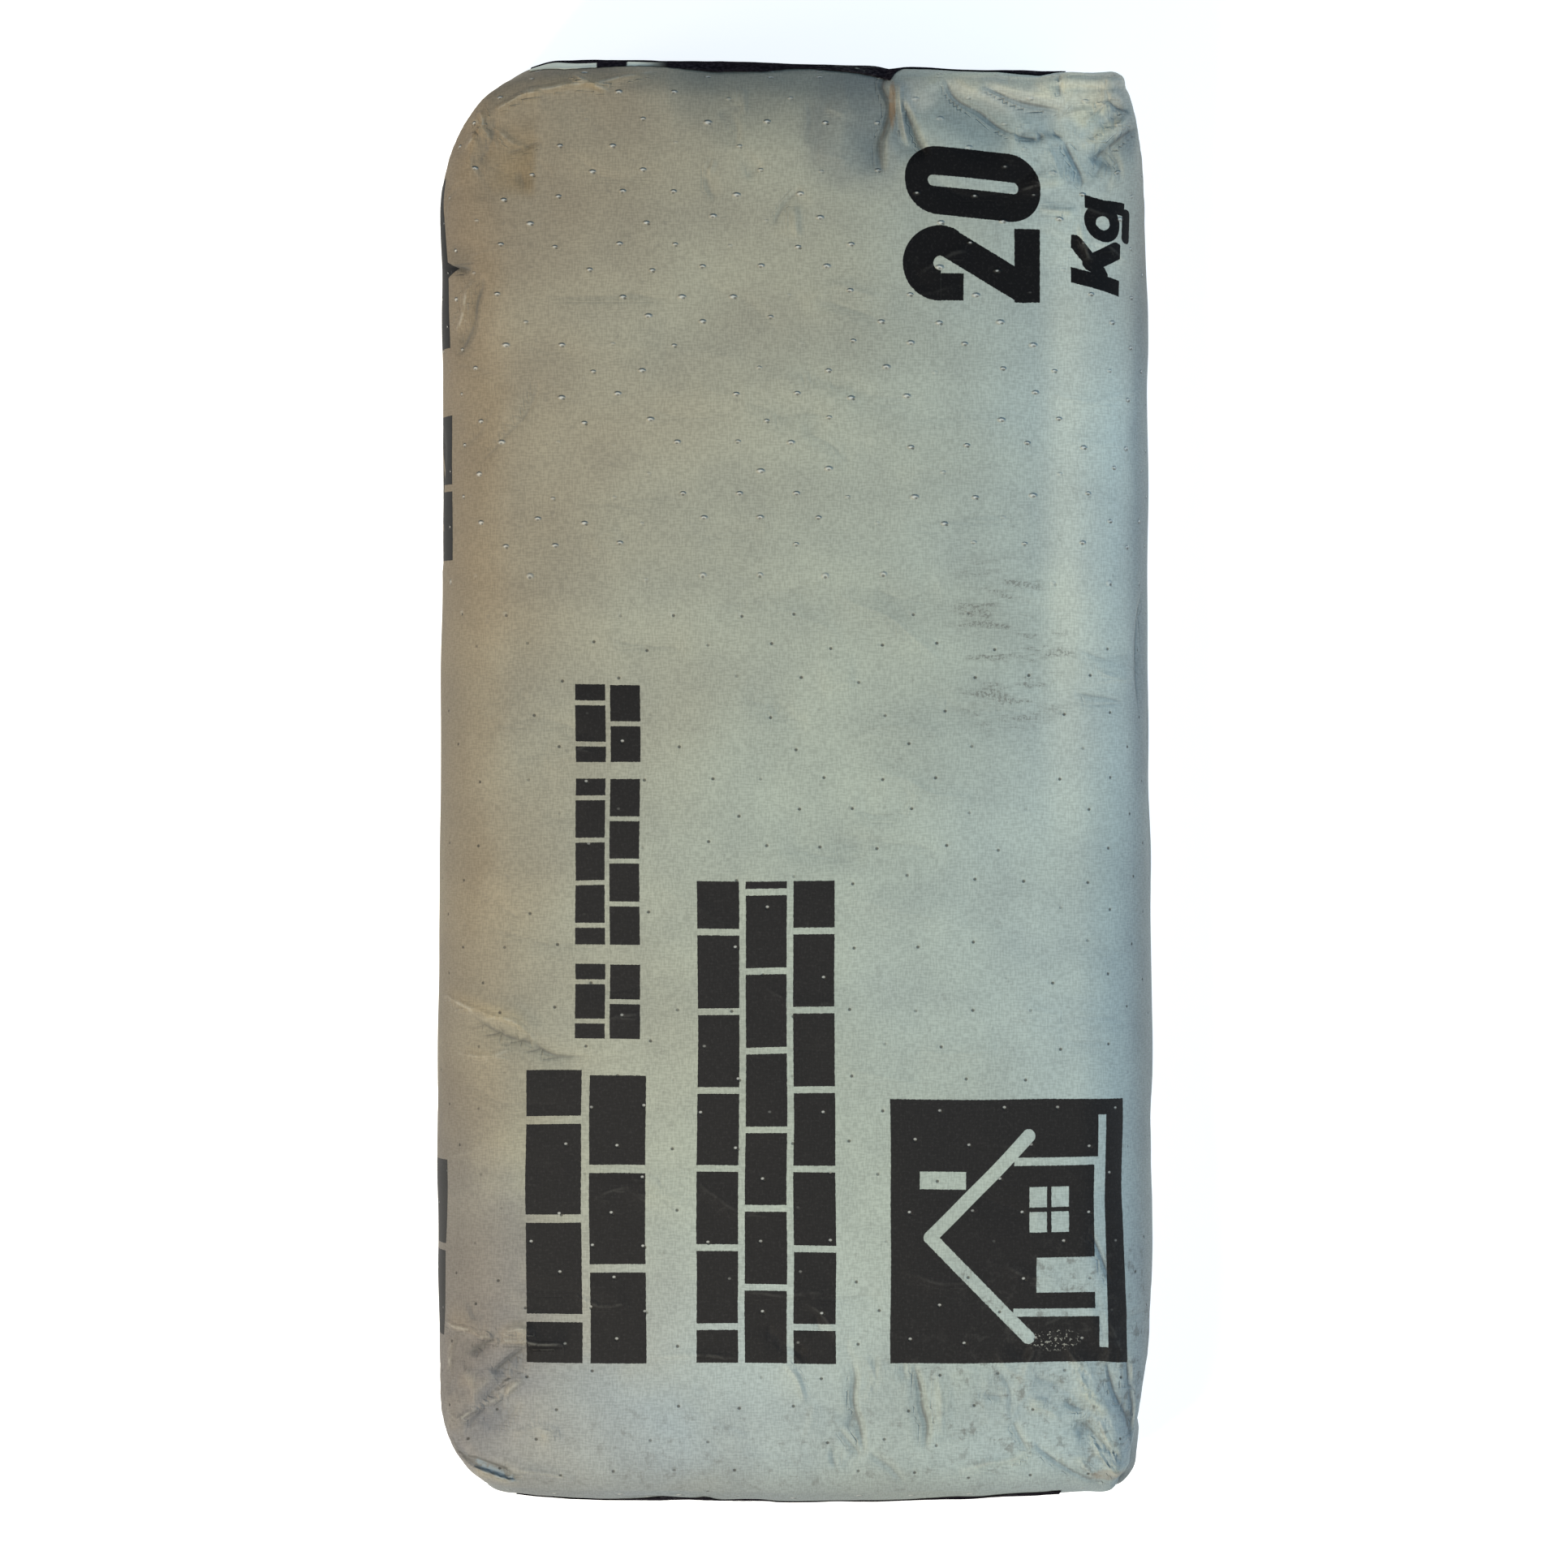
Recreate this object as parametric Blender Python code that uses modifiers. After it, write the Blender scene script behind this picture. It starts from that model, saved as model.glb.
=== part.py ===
"""A filled paper valve sack of cement skim coat, lying flat on the floor.

The sack is a pasted block-bottom sack: a two-ply kraft tube whose two ends are folded
square and closed with a glued cover sheet each. One corner of the upper end holds the
valve, a flat paper sleeve through which the powder was blown in.

The frame has +Z up, +Y along the sack towards its valve end and +X across it. The
origin is the middle of the face that lies on the floor.
"""

import math

import bmesh
import bpy
from mathutils import Vector

# The filled sack, in metres. The girth of about 0.75 m is a sack of 380 mm flat width.
LENGTH = 0.577
WIDTH = 0.288
THICKNESS = 0.120
CROWN = 0.012  # how far the middle of the upper face stands above its edges

# Paper: two plies of sack kraft, and the single sheets glued over the ends.
WALL = 0.0003
SHEET = 0.0002
GAP = 0.0003  # air between pieces that touch on the real sack

# Roundings of the edges, as the reach along each axis. The flanks are round like a pillow's
# in the middle, and take the end's own tighter rounding from this share of the length on.
FLANK_ROUND_X = 0.032
FLANK_ROUND_Z = 0.048
END_ROUND_Y = 0.016
END_ROUND_Z = 0.026
SQUARER_FROM = 0.35

# Upright edges at the four corners, as the rounding's reach along X and along Y, and the
# shares of the width and the length from which they begin to show.
CORNERS = {
    (-1, 1): (0.016, 0.014),
    (1, 1): (0.008, 0.010),
    (-1, -1): (0.014, 0.012),
    (1, -1): (0.014, 0.013),
}
CORNER_FROM_ACROSS = 0.25
CORNER_FROM_ALONG = 0.45

# The two left corners have slumped, so that seen from above they are long ellipses.
SLUMPED_CORNERS = {
    1: (0.050, 0.064),
    -1: (0.030, 0.036),
}

# The flanks draw in towards the ends: by side and end, how far, and over what length. Both
# also taper towards the valve end.
END_NARROWINGS = {
    (1, 1): (0.0105, 0.030),
    (1, -1): (0.0112, 0.038),
    (-1, -1): (0.0036, 0.060),
}
TAPER = 0.0022
TAPER_FROM, TAPER_TO = -0.6, 0.4  # shares of the half length

# The valve end is skewed a little, the closed end curves back to the flanks, and both ends
# belly out. None of it shows further from the end than this share of the half length.
VALVE_END_SKEW = 0.0052
CLOSED_END_DRAW = 0.0008
CLOSED_END_ROUND = 0.0035
END_BELLY = 0.0030
END_FORM_FROM = 0.7
CROWN_FULLNESS = 0.6  # under 1, the crown keeps its height for most of the length

# The valve sleeve, a flat tube inside the valve corner.
SLEEVE_WIDTH = 0.070
SLEEVE_LENGTH = 0.120
SLEEVE_THICKNESS = 0.0014
SLEEVE_DEPTH = 0.0040  # from the outer paper to the sleeve's middle plane
SLEEVE_MOUTH_SHARE = 0.3  # how much of the corner's rounding the sleeve stops short of
CUT_MARGIN = 0.020  # how far a cutter runs past what it cuts

# The share of each half of the cube that maps to flat faces; the rest maps to roundings.
FLAT_SHARE = 0.7
ROUND_CELLS = 3
FLAT_CELLS = {"x": 10, "y": 16, "z": 3}
COVER_END_ANGLE = 62.0  # degrees from the end's own direction, where the sheet's long edges lie

HALF_WIDTH = WIDTH / 2
HALF_LENGTH = LENGTH / 2
EDGE_HEIGHT = THICKNESS - CROWN
HALF_HEIGHT = EDGE_HEIGHT / 2

KRAFT_GREY = (0.36, 0.37, 0.33, 1.0)
PRINTED_BLACK = (0.025, 0.024, 0.024, 1.0)
SLEEVE_BROWN = (0.42, 0.33, 0.22, 1.0)
POWDER_WHITE = (0.72, 0.72, 0.70, 1.0)


def clear_scene():
    for found in list(bpy.data.objects):
        bpy.data.objects.remove(found)


def material(name, colour, roughness):
    made = bpy.data.materials.new(name)
    made.use_nodes = True
    shader = made.node_tree.nodes["Principled BSDF"]
    shader.inputs["Base Color"].default_value = colour
    shader.inputs["Roughness"].default_value = roughness
    shader.inputs["Metallic"].default_value = 0.0
    made.diffuse_color = colour
    return made


def smooth_step(value, low, high):
    share = min(1.0, max(0.0, (value - low) / (high - low)))
    return share * share * (3 - 2 * share)


def blend(first, second, share):
    return first + (second - first) * share


def roundings(u, v):
    """Reach of the rounding along X, Y and Z at this place of the cube, seen from above."""
    near_end = smooth_step(abs(v), SQUARER_FROM, FLAT_SHARE)
    reach_x = FLANK_ROUND_X
    reach_y = END_ROUND_Y
    reach_z = blend(FLANK_ROUND_Z, END_ROUND_Z, near_end)
    for (side, end), (corner_x, corner_y) in CORNERS.items():
        share = smooth_step(u * side, CORNER_FROM_ACROSS, FLAT_SHARE)
        share *= smooth_step(v * end, CORNER_FROM_ALONG, FLAT_SHARE)
        reach_x = blend(reach_x, corner_x, share)
        reach_y = blend(reach_y, corner_y, share)
    return reach_x, reach_y, reach_z


def along_axis(value, reach, half):
    """(where the rounding's ellipse has its middle, how far the surface turns this way)."""
    middle = math.copysign(min(abs(value) / FLAT_SHARE, 1.0) * (half - reach), value)
    share = max(0.0, (abs(value) - FLAT_SHARE) / (1.0 - FLAT_SHARE))
    return middle, math.copysign(math.tan(share * math.pi / 4), value)


def slumped(place):
    """The place with the left corners rounded from above, as a square is mapped to a disc."""
    end = 1 if place.y > 0 else -1
    reach_x, reach_y = SLUMPED_CORNERS[end]
    a = max(0.0, (-place.x - (HALF_WIDTH - reach_x)) / reach_x)
    b = max(0.0, (place.y * end - (HALF_LENGTH - reach_y)) / reach_y)
    pull_x = reach_x * a * (1 - math.sqrt(1 - b * b / 2))
    pull_y = reach_y * b * (1 - math.sqrt(1 - a * a / 2))
    return place + Vector((pull_x, -end * pull_y, 0.0))


def settled(place):
    """Where a point of the plain rounded box comes to lie once the sack has settled."""
    across = place.x / HALF_WIDTH
    along = place.y / HALF_LENGTH
    up = place.z / EDGE_HEIGHT
    from_end = HALF_LENGTH - abs(place.y)
    narrowing = TAPER * smooth_step(along, TAPER_FROM, TAPER_TO)
    for (side, end), (depth, reach) in END_NARROWINGS.items():
        if across * side > 0 and along * end > 0:
            narrowing += depth * math.exp(-from_end / reach)
    belly = END_BELLY * (across * across + (2 * up - 1) ** 2) / 2
    if along > 0:
        belly += VALVE_END_SKEW * smooth_step(across, -1.0, 1.0)
    else:
        belly += CLOSED_END_DRAW + CLOSED_END_ROUND * across * across
    inland = max(0.0, 1 - across * across) * max(0.0, 1 - along * along) ** CROWN_FULLNESS
    shift_y = -math.copysign(belly * smooth_step(abs(along), END_FORM_FROM, 1.0), along)
    return slumped(place) + Vector((-across * narrowing, shift_y, CROWN * inland * up))


def sack_point(u, v, w):
    """Place on the outer paper of a point on the surface of a cube from -1 to 1."""
    reach_x, reach_y, reach_z = roundings(u, v)
    middle_x, turn_x = along_axis(u, reach_x, HALF_WIDTH)
    middle_y, turn_y = along_axis(v, reach_y, HALF_LENGTH)
    middle_z, turn_z = along_axis(w, reach_z, HALF_HEIGHT)
    turn = Vector((turn_x, turn_y, turn_z)).normalized()
    middle = Vector((middle_x, middle_y, middle_z + HALF_HEIGHT))
    return settled(middle + Vector((reach_x * turn.x, reach_y * turn.y, reach_z * turn.z)))


def grid_lines(flat_cells):
    """Cuts of one axis of the cube: the flat share's, closer towards its ends, then the roundings'."""
    quarter = math.pi / 2
    flat = [FLAT_SHARE * math.sin(quarter * (2 * i / flat_cells - 1)) for i in range(flat_cells + 1)]
    step = (1 - FLAT_SHARE) / ROUND_CELLS
    round_side = [FLAT_SHARE + step * i for i in range(1, ROUND_CELLS)]
    return flat + round_side + [-line for line in round_side]


def cut_cube():
    """A cube from -1 to 1 cut along every grid line."""
    mesh = bmesh.new()
    bmesh.ops.create_cube(mesh, size=2.0)
    for axis, letter in enumerate("xyz"):
        normal = Vector((0, 0, 0))
        normal[axis] = 1.0
        for line in grid_lines(FLAT_CELLS[letter]):
            everything = mesh.verts[:] + mesh.edges[:] + mesh.faces[:]
            bmesh.ops.bisect_plane(mesh, geom=everything, plane_co=normal * line, plane_no=normal)
    return mesh


def finish(name, mesh, look, collection):
    """An object of this mesh, smooth shaded apart from its sharp edges."""
    data = bpy.data.meshes.new(name)
    mesh.to_mesh(data)
    mesh.free()
    data.materials.append(look)
    data.shade_smooth()
    data.set_sharp_from_angle(angle=math.radians(40))
    made = bpy.data.objects.new(name, data)
    collection.objects.link(made)
    return made


def sack_surface():
    """The outer paper as one closed surface."""
    mesh = cut_cube()
    for vertex in mesh.verts:
        vertex.co = sack_point(*vertex.co)
    return mesh


def end_direction_angle(v, w):
    """Degrees between the end's own direction and the way that the paper faces there."""
    turn_y = along_axis(v, END_ROUND_Y, HALF_LENGTH)[1]
    turn_z = along_axis(w, END_ROUND_Z, HALF_HEIGHT)[1]
    return math.degrees(math.atan2(abs(turn_z), abs(turn_y)))


def cover_surface(end):
    """The part of one end that its cover sheet lies on."""
    mesh = cut_cube()
    spare = []
    for face in mesh.faces:
        u, v, w = face.calc_center_median()
        on_end = v * end > FLAT_SHARE and abs(u) < FLAT_SHARE
        if not (on_end and end_direction_angle(v, w) < COVER_END_ANGLE):
            spare.append(face)
    bmesh.ops.delete(mesh, geom=spare, context="FACES")
    for vertex in mesh.verts:
        vertex.co = sack_point(*vertex.co)
    return mesh


def offset_along_normals(made, distance):
    move = made.modifiers.new("Offset", "DISPLACE")
    move.mid_level = 0.0
    move.strength = distance


def thicken(made, thickness, outwards):
    wall = made.modifiers.new("Paper", "SOLIDIFY")
    wall.thickness = thickness
    wall.offset = 1.0 if outwards else -1.0
    wall.use_even_offset = True


def cut_away(made, cutter):
    cut = made.modifiers.new("Cut", "BOOLEAN")
    cut.operation = "DIFFERENCE"
    cut.object = cutter


def block(name, low, high, collection):
    """A plain box between two corners."""
    mesh = bmesh.new()
    bmesh.ops.create_cube(mesh, size=1.0)
    size = Vector(high) - Vector(low)
    bmesh.ops.scale(mesh, vec=size, verts=mesh.verts)
    bmesh.ops.translate(mesh, vec=(Vector(high) + Vector(low)) / 2, verts=mesh.verts)
    data = bpy.data.meshes.new(name)
    mesh.to_mesh(data)
    mesh.free()
    made = bpy.data.objects.new(name, data)
    collection.objects.link(made)
    return made


def cutter_block(name, low, high, collection):
    made = block(name, low, high, collection)
    made.hide_render = True
    made.display_type = "WIRE"
    return made


def build():
    clear_scene()
    sack_parts = bpy.data.collections.new("skim_coat_sack")
    cutters = bpy.data.collections.new("cutters")
    bpy.context.scene.collection.children.link(sack_parts)
    bpy.context.scene.collection.children.link(cutters)

    # The sleeve's own box: its mouth is flush with the valve corner.
    plain_x = HALF_WIDTH - CORNERS[(1, 1)][0] * SLEEVE_MOUTH_SHARE
    mouth = settled(Vector((plain_x, HALF_LENGTH - SLEEVE_DEPTH, HALF_HEIGHT)))
    half_section = Vector((0, SLEEVE_THICKNESS, SLEEVE_WIDTH)) / 2
    low = Vector((mouth.x - SLEEVE_LENGTH, mouth.y, HALF_HEIGHT)) - half_section
    high = Vector((mouth.x, mouth.y, HALF_HEIGHT)) + half_section

    sack = finish("paper_sack", sack_surface(), material("kraft_paper", KRAFT_GREY, 0.75), sack_parts)
    thicken(sack, WALL, outwards=False)
    slit_low = Vector((high.x - CUT_MARGIN, low.y - GAP, low.z - GAP))
    slit_high = high + Vector((CUT_MARGIN, GAP, GAP))
    cut_away(sack, cutter_block("valve_slit", slit_low, slit_high, cutters))

    white = material("skim_coat_powder", POWDER_WHITE, 0.95)
    powder = finish("powder_fill", sack_surface(), white, sack_parts)
    offset_along_normals(powder, -(WALL + GAP))
    pocket_low = low - Vector((GAP, GAP, GAP))
    pocket_high = high + Vector((CUT_MARGIN, CUT_MARGIN, GAP))
    cut_away(powder, cutter_block("valve_pocket", pocket_low, pocket_high, cutters))

    black_print = material("black_printed_paper", PRINTED_BLACK, 0.6)
    for name, end in (("valve_end_cover_sheet", 1), ("closed_end_cover_sheet", -1)):
        cover = finish(name, cover_surface(end), black_print, sack_parts)
        offset_along_normals(cover, GAP)
        thicken(cover, SHEET, outwards=True)

    sleeve = block("valve_sleeve", low, high, sack_parts)
    sleeve.data.materials.append(material("valve_paper", SLEEVE_BROWN, 0.8))
    inside = Vector((-CUT_MARGIN, SHEET, SHEET))
    cut_away(sleeve, cutter_block("sleeve_bore", low + inside, high - inside, cutters))


build()
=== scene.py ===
"""A filled 20 kg paper valve sack of cement skim coat, lying flat with its printed face up.

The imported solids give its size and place. This script makes the paper as it looks: the
creased sack itself, the dark sheets glued over its ends, the valve's paper sleeve and the
powder inside, each beside the CAD node that it stands for.
"""

import math

import bpy
import numpy as np
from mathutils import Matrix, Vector


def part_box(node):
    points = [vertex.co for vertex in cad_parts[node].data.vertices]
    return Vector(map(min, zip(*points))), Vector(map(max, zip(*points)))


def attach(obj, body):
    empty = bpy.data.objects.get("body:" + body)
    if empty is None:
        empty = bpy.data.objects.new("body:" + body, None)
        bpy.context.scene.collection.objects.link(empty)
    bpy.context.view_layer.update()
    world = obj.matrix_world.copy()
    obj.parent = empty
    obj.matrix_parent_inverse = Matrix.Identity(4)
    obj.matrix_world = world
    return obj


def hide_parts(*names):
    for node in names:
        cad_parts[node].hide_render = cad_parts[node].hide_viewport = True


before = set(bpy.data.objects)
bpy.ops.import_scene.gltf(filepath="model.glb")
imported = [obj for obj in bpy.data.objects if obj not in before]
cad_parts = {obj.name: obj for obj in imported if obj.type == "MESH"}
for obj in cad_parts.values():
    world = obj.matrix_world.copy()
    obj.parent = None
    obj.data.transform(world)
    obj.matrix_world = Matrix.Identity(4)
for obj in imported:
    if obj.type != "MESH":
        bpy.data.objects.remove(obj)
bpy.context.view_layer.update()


# The camera stands straight above the printed face, as in the photograph, with the valve
# end at the top of the picture. A pixel of the 1932 pixel frame is 0.3255 mm wide at the
# height where the sack is broadest.
PIXEL = 0.0003255
FRAME_PIXELS = 1932
BROADEST_HEIGHT = 0.060
CAMERA_DISTANCE = 3.0
CAMERA_PLACE = (-0.0044, -0.0013)


def add_object(name, data):
    made = bpy.data.objects.new(name, data)
    bpy.context.scene.collection.objects.link(made)
    return made


camera = add_object("camera", bpy.data.cameras.new("camera"))
camera.location = (*CAMERA_PLACE, BROADEST_HEIGHT + CAMERA_DISTANCE)
half_view = math.atan(PIXEL * FRAME_PIXELS / 2 / CAMERA_DISTANCE)
camera.data.lens = camera.data.sensor_width / 2 / math.tan(half_view)
bpy.context.scene.camera = camera


# The sack is a tube of two plies of sack kraft, folded square at both ends and filled
# until its flanks are round. This first part is its plain form, the same as the solid's,
# in metres; a place across or along the sack is a share of its half width or half length.
LENGTH = 0.577
WIDTH = 0.288
THICKNESS = 0.120
CROWN = 0.012
FLANK_ROUND_X = 0.032
FLANK_ROUND_Z = 0.048
END_ROUND_Y = 0.016
END_ROUND_Z = 0.026
SQUARER_FROM = 0.35
# each upright corner, by its side and end: its rounding's reach across and along
CORNERS = {
    (-1, 1): (0.016, 0.014),
    (1, 1): (0.008, 0.010),
    (-1, -1): (0.014, 0.012),
    (1, -1): (0.014, 0.013),
}
CORNER_FROM_ACROSS = 0.25
CORNER_FROM_ALONG = 0.45
# the left corners have slumped, by end: how far in across and along
SLUMPED_CORNERS = {
    1: (0.050, 0.064),
    -1: (0.030, 0.036),
}
# a flank draws in towards an end, by side and end: how far, and over what length
END_NARROWINGS = {
    (1, 1): (0.0105, 0.030),
    (1, -1): (0.0112, 0.038),
    (-1, -1): (0.0036, 0.060),
}
TAPER = 0.0022
TAPER_FROM, TAPER_TO = -0.6, 0.4
VALVE_END_SKEW = 0.0052
CLOSED_END_DRAW = 0.0008
CLOSED_END_ROUND = 0.0035
END_BELLY = 0.0030
END_FORM_FROM = 0.7
CROWN_FULLNESS = 0.6
FLAT_SHARE = 0.7

HALF_WIDTH = WIDTH / 2
HALF_LENGTH = LENGTH / 2
EDGE_HEIGHT = THICKNESS - CROWN
HALF_HEIGHT = EDGE_HEIGHT / 2


def smooth_step(value, low, high):
    share = np.clip((value - low) / (high - low), 0.0, 1.0)
    return share * share * (3 - 2 * share)


def roundings(u, v):
    """Reach of the rounding along X, Y and Z at these places of the cube."""
    near_end = smooth_step(abs(v), SQUARER_FROM, FLAT_SHARE)
    reach_x = np.full_like(u, FLANK_ROUND_X)
    reach_y = np.full_like(u, END_ROUND_Y)
    reach_z = FLANK_ROUND_Z + (END_ROUND_Z - FLANK_ROUND_Z) * near_end
    for (side, end), (corner_x, corner_y) in CORNERS.items():
        share = smooth_step(u * side, CORNER_FROM_ACROSS, FLAT_SHARE)
        share = share * smooth_step(v * end, CORNER_FROM_ALONG, FLAT_SHARE)
        reach_x = reach_x + (corner_x - reach_x) * share
        reach_y = reach_y + (corner_y - reach_y) * share
    return reach_x, reach_y, reach_z


def along_axis(value, reach, half):
    """(where the rounding's ellipse has its middle, how far the surface turns this way)."""
    middle = np.copysign(np.minimum(abs(value) / FLAT_SHARE, 1.0) * (half - reach), value)
    share = np.maximum(0.0, (abs(value) - FLAT_SHARE) / (1.0 - FLAT_SHARE))
    return middle, np.copysign(np.tan(share * math.pi / 4), value)


def settled(x, y, z):
    """Where points of the plain rounded box come to lie once the sack has settled."""
    across, along, up = x / HALF_WIDTH, y / HALF_LENGTH, z / EDGE_HEIGHT
    narrowing = TAPER * smooth_step(along, TAPER_FROM, TAPER_TO)
    for (side, end), (depth, reach) in END_NARROWINGS.items():
        drawn_in = depth * np.exp((abs(y) - HALF_LENGTH) / reach)
        narrowing = narrowing + np.where((across * side > 0) & (along * end > 0), drawn_in, 0.0)
    belly = END_BELLY * (across * across + (2 * up - 1) ** 2) / 2
    skew = VALVE_END_SKEW * smooth_step(across, -1.0, 1.0)
    drawn_back = CLOSED_END_DRAW + CLOSED_END_ROUND * across * across
    belly = belly + np.where(along > 0, skew, drawn_back)
    inland = np.clip(1 - across * across, 0, 1) * np.clip(1 - along * along, 0, 1) ** CROWN_FULLNESS
    reach_x = np.where(y > 0, SLUMPED_CORNERS[1][0], SLUMPED_CORNERS[-1][0])
    reach_y = np.where(y > 0, SLUMPED_CORNERS[1][1], SLUMPED_CORNERS[-1][1])
    a = np.maximum(0.0, (-x - (HALF_WIDTH - reach_x)) / reach_x)
    b = np.maximum(0.0, (abs(y) - (HALF_LENGTH - reach_y)) / reach_y)
    pull_x = reach_x * a * (1 - np.sqrt(1 - b * b / 2))
    pull_y = reach_y * b * (1 - np.sqrt(1 - a * a / 2))
    drop_y = belly * smooth_step(abs(along), END_FORM_FROM, 1.0) + pull_y
    place = (x - across * narrowing + pull_x, y - np.copysign(drop_y, y), z + CROWN * inland * up)
    return np.stack(place, axis=-1)


def sack_points(cube):
    """Places on the smooth outer paper of points on the surface of a cube from -1 to 1."""
    u, v, w = np.moveaxis(cube, -1, 0)
    reach_x, reach_y, reach_z = roundings(u, v)
    middle_x, turn_x = along_axis(u, reach_x, HALF_WIDTH)
    middle_y, turn_y = along_axis(v, reach_y, HALF_LENGTH)
    middle_z, turn_z = along_axis(w, reach_z, HALF_HEIGHT)
    turn = np.stack((turn_x, turn_y, turn_z), axis=-1)
    turn = turn / np.linalg.norm(turn, axis=-1, keepdims=True)
    x = middle_x + reach_x * turn[..., 0]
    y = middle_y + reach_y * turn[..., 1]
    z = middle_z + HALF_HEIGHT + reach_z * turn[..., 2]
    return settled(x, y, z)


# The paper is cut finer near the ends, where it is creased. Its flat layout, in metres, is
# kept as a UV map: the tube's girth runs across and its length runs up, and each end has a
# place of its own above the tube.
X_STOPS, X_CELLS = (-1, -0.7, 0, 0.7, 1), (13, 82, 104, 13)
Y_STOPS, Y_CELLS = (-1, -0.7, -0.47, 0, 0.47, 0.7, 1), (11, 60, 59, 59, 60, 11)
Z_STOPS, Z_CELLS = (-1, -0.7, 0.7, 1), (10, 15, 10)
SHEET_MIDDLE = (0.5, 0.34)
END_SHEET_HEIGHTS = {1: 0.70, -1: 0.85}


def cuts(stops, cells, density):
    """Places along one axis of the cube, evenly spaced from each stop to the next."""
    spans = [
        np.linspace(low, high, math.ceil(count * density), endpoint=False)
        for low, high, count in zip(stops, stops[1:], cells)
    ]
    return np.concatenate([*spans, [stops[-1]]])


def travelled(points, middle):
    """How far rows of points lie along the paper from the middle row; negative before it."""
    steps = np.linalg.norm(np.diff(points, axis=0), axis=-1)
    travel = np.concatenate([np.zeros_like(steps[:1]), np.cumsum(steps, axis=0)])
    return travel - travel[middle]


def cube_side(axis, hand, first, second):
    """Grid of points on one side of the cube."""
    cube = np.empty((len(first), len(second), 3))
    cube[..., axis] = hand
    cube[..., (axis + 1) % 3] = first[:, None]
    cube[..., (axis + 2) % 3] = second[None, :]
    return cube


def grid_faces(index, hand):
    """Faces between rows and columns of numbered points, turned over for a hand below 0."""
    ring = [index[:-1, :-1], index[1:, :-1], index[1:, 1:], index[:-1, 1:]]
    return np.stack(ring if hand > 0 else ring[::-1], axis=-1).reshape(-1, 4)


def paper_grid(density):
    """The smooth paper: (points, faces, flat layout of each face's corners)."""
    x_cuts = cuts(X_STOPS, X_CELLS, density)
    y_cuts = cuts(Y_STOPS, Y_CELLS, density)
    z_cuts = cuts(Z_STOPS, Z_CELLS, density)
    x_middle = int(np.searchsorted(x_cuts, 0.0))
    y_middle = int(np.searchsorted(y_cuts, 0.0))
    top = sack_points(cube_side(2, 1, x_cuts, y_cuts))
    across_top = travelled(top, x_middle)
    sides = []

    def add_side(axis, hand, first, second, layout):
        cube = cube_side(axis, hand, first, second)
        place = sack_points(cube)
        sides.append((cube, place, hand, *layout(place)))

    def along(place):
        return np.moveaxis(travelled(np.moveaxis(place, 1, 0), y_middle), 0, 1)

    def flank_layout(side):
        def layout(place):
            down = travelled(np.moveaxis(place, 1, 0), -1)
            across = side * (abs(across_top[-1 if side > 0 else 0]) - down)
            return across.T, travelled(place, y_middle)
        return layout

    def underside_layout(side):
        def layout(place):
            edge = -1 if side > 0 else 0
            flank = sides[1 if side > 0 else 0][3]
            inwards = abs(travelled(place, edge))
            return flank[:, 0] + side * inwards, along(place)
        return layout

    def end_layout(end):
        def layout(place):
            return place[..., 0], place[..., 2] + END_SHEET_HEIGHTS[end] - SHEET_MIDDLE[1]
        return layout

    add_side(0, -1, y_cuts, z_cuts, flank_layout(-1))
    add_side(0, 1, y_cuts, z_cuts, flank_layout(1))
    add_side(2, -1, x_cuts[: x_middle + 1], y_cuts, underside_layout(-1))
    add_side(2, -1, x_cuts[x_middle:], y_cuts, underside_layout(1))
    add_side(2, 1, x_cuts, y_cuts, lambda place: (across_top, along(place)))
    add_side(1, 1, z_cuts, x_cuts, end_layout(1))
    add_side(1, -1, z_cuts, x_cuts, end_layout(-1))

    cubes, points, faces, corners = [], [], [], []
    count = 0
    for cube, place, hand, across, up in sides:
        index = count + np.arange(across.size).reshape(across.shape)
        faces.append(grid_faces(index, hand))
        corners.append(np.stack((across, up), axis=-1).reshape(-1, 2) + SHEET_MIDDLE)
        cubes.append(cube.reshape(-1, 3))
        points.append(place.reshape(-1, 3))
        count += across.size
    cubes, points, faces, corners = map(np.concatenate, (cubes, points, faces, corners))
    _, kept, joined = np.unique(np.round(cubes, 6), axis=0, return_index=True, return_inverse=True)
    return points[kept], joined.reshape(-1)[faces], corners[faces]


# Creases. A fold is a line on the paper along which it stands up or sinks in, with its own
# reach to each side, so that a short reach beside a long one makes a tuck.
MM = 0.001
FOLD_SHARPNESS = 1.1
FOLD_ROUNDING = 1.0
FADE_SHARE = 0.3
# the paint draws a fold's line out to this distance, and fully from this rise on
LINE_REACH = 3.2
FULL_LINE_RISE = 1.6
# a fixed direction, so that each wave bends across its own
ASKEW = (0.36, 0.48, 0.8)


def rounded(points):
    """The line through these points with its bends rounded off, its ends kept."""
    points = np.array(points, float)
    for _ in range(2):
        first, second = points[:-1], points[1:]
        cut = np.stack((0.75 * first + 0.25 * second, 0.25 * first + 0.75 * second), axis=1)
        points = np.concatenate([points[:1], cut.reshape(-1, 2), points[-1:]])
    return points


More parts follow.
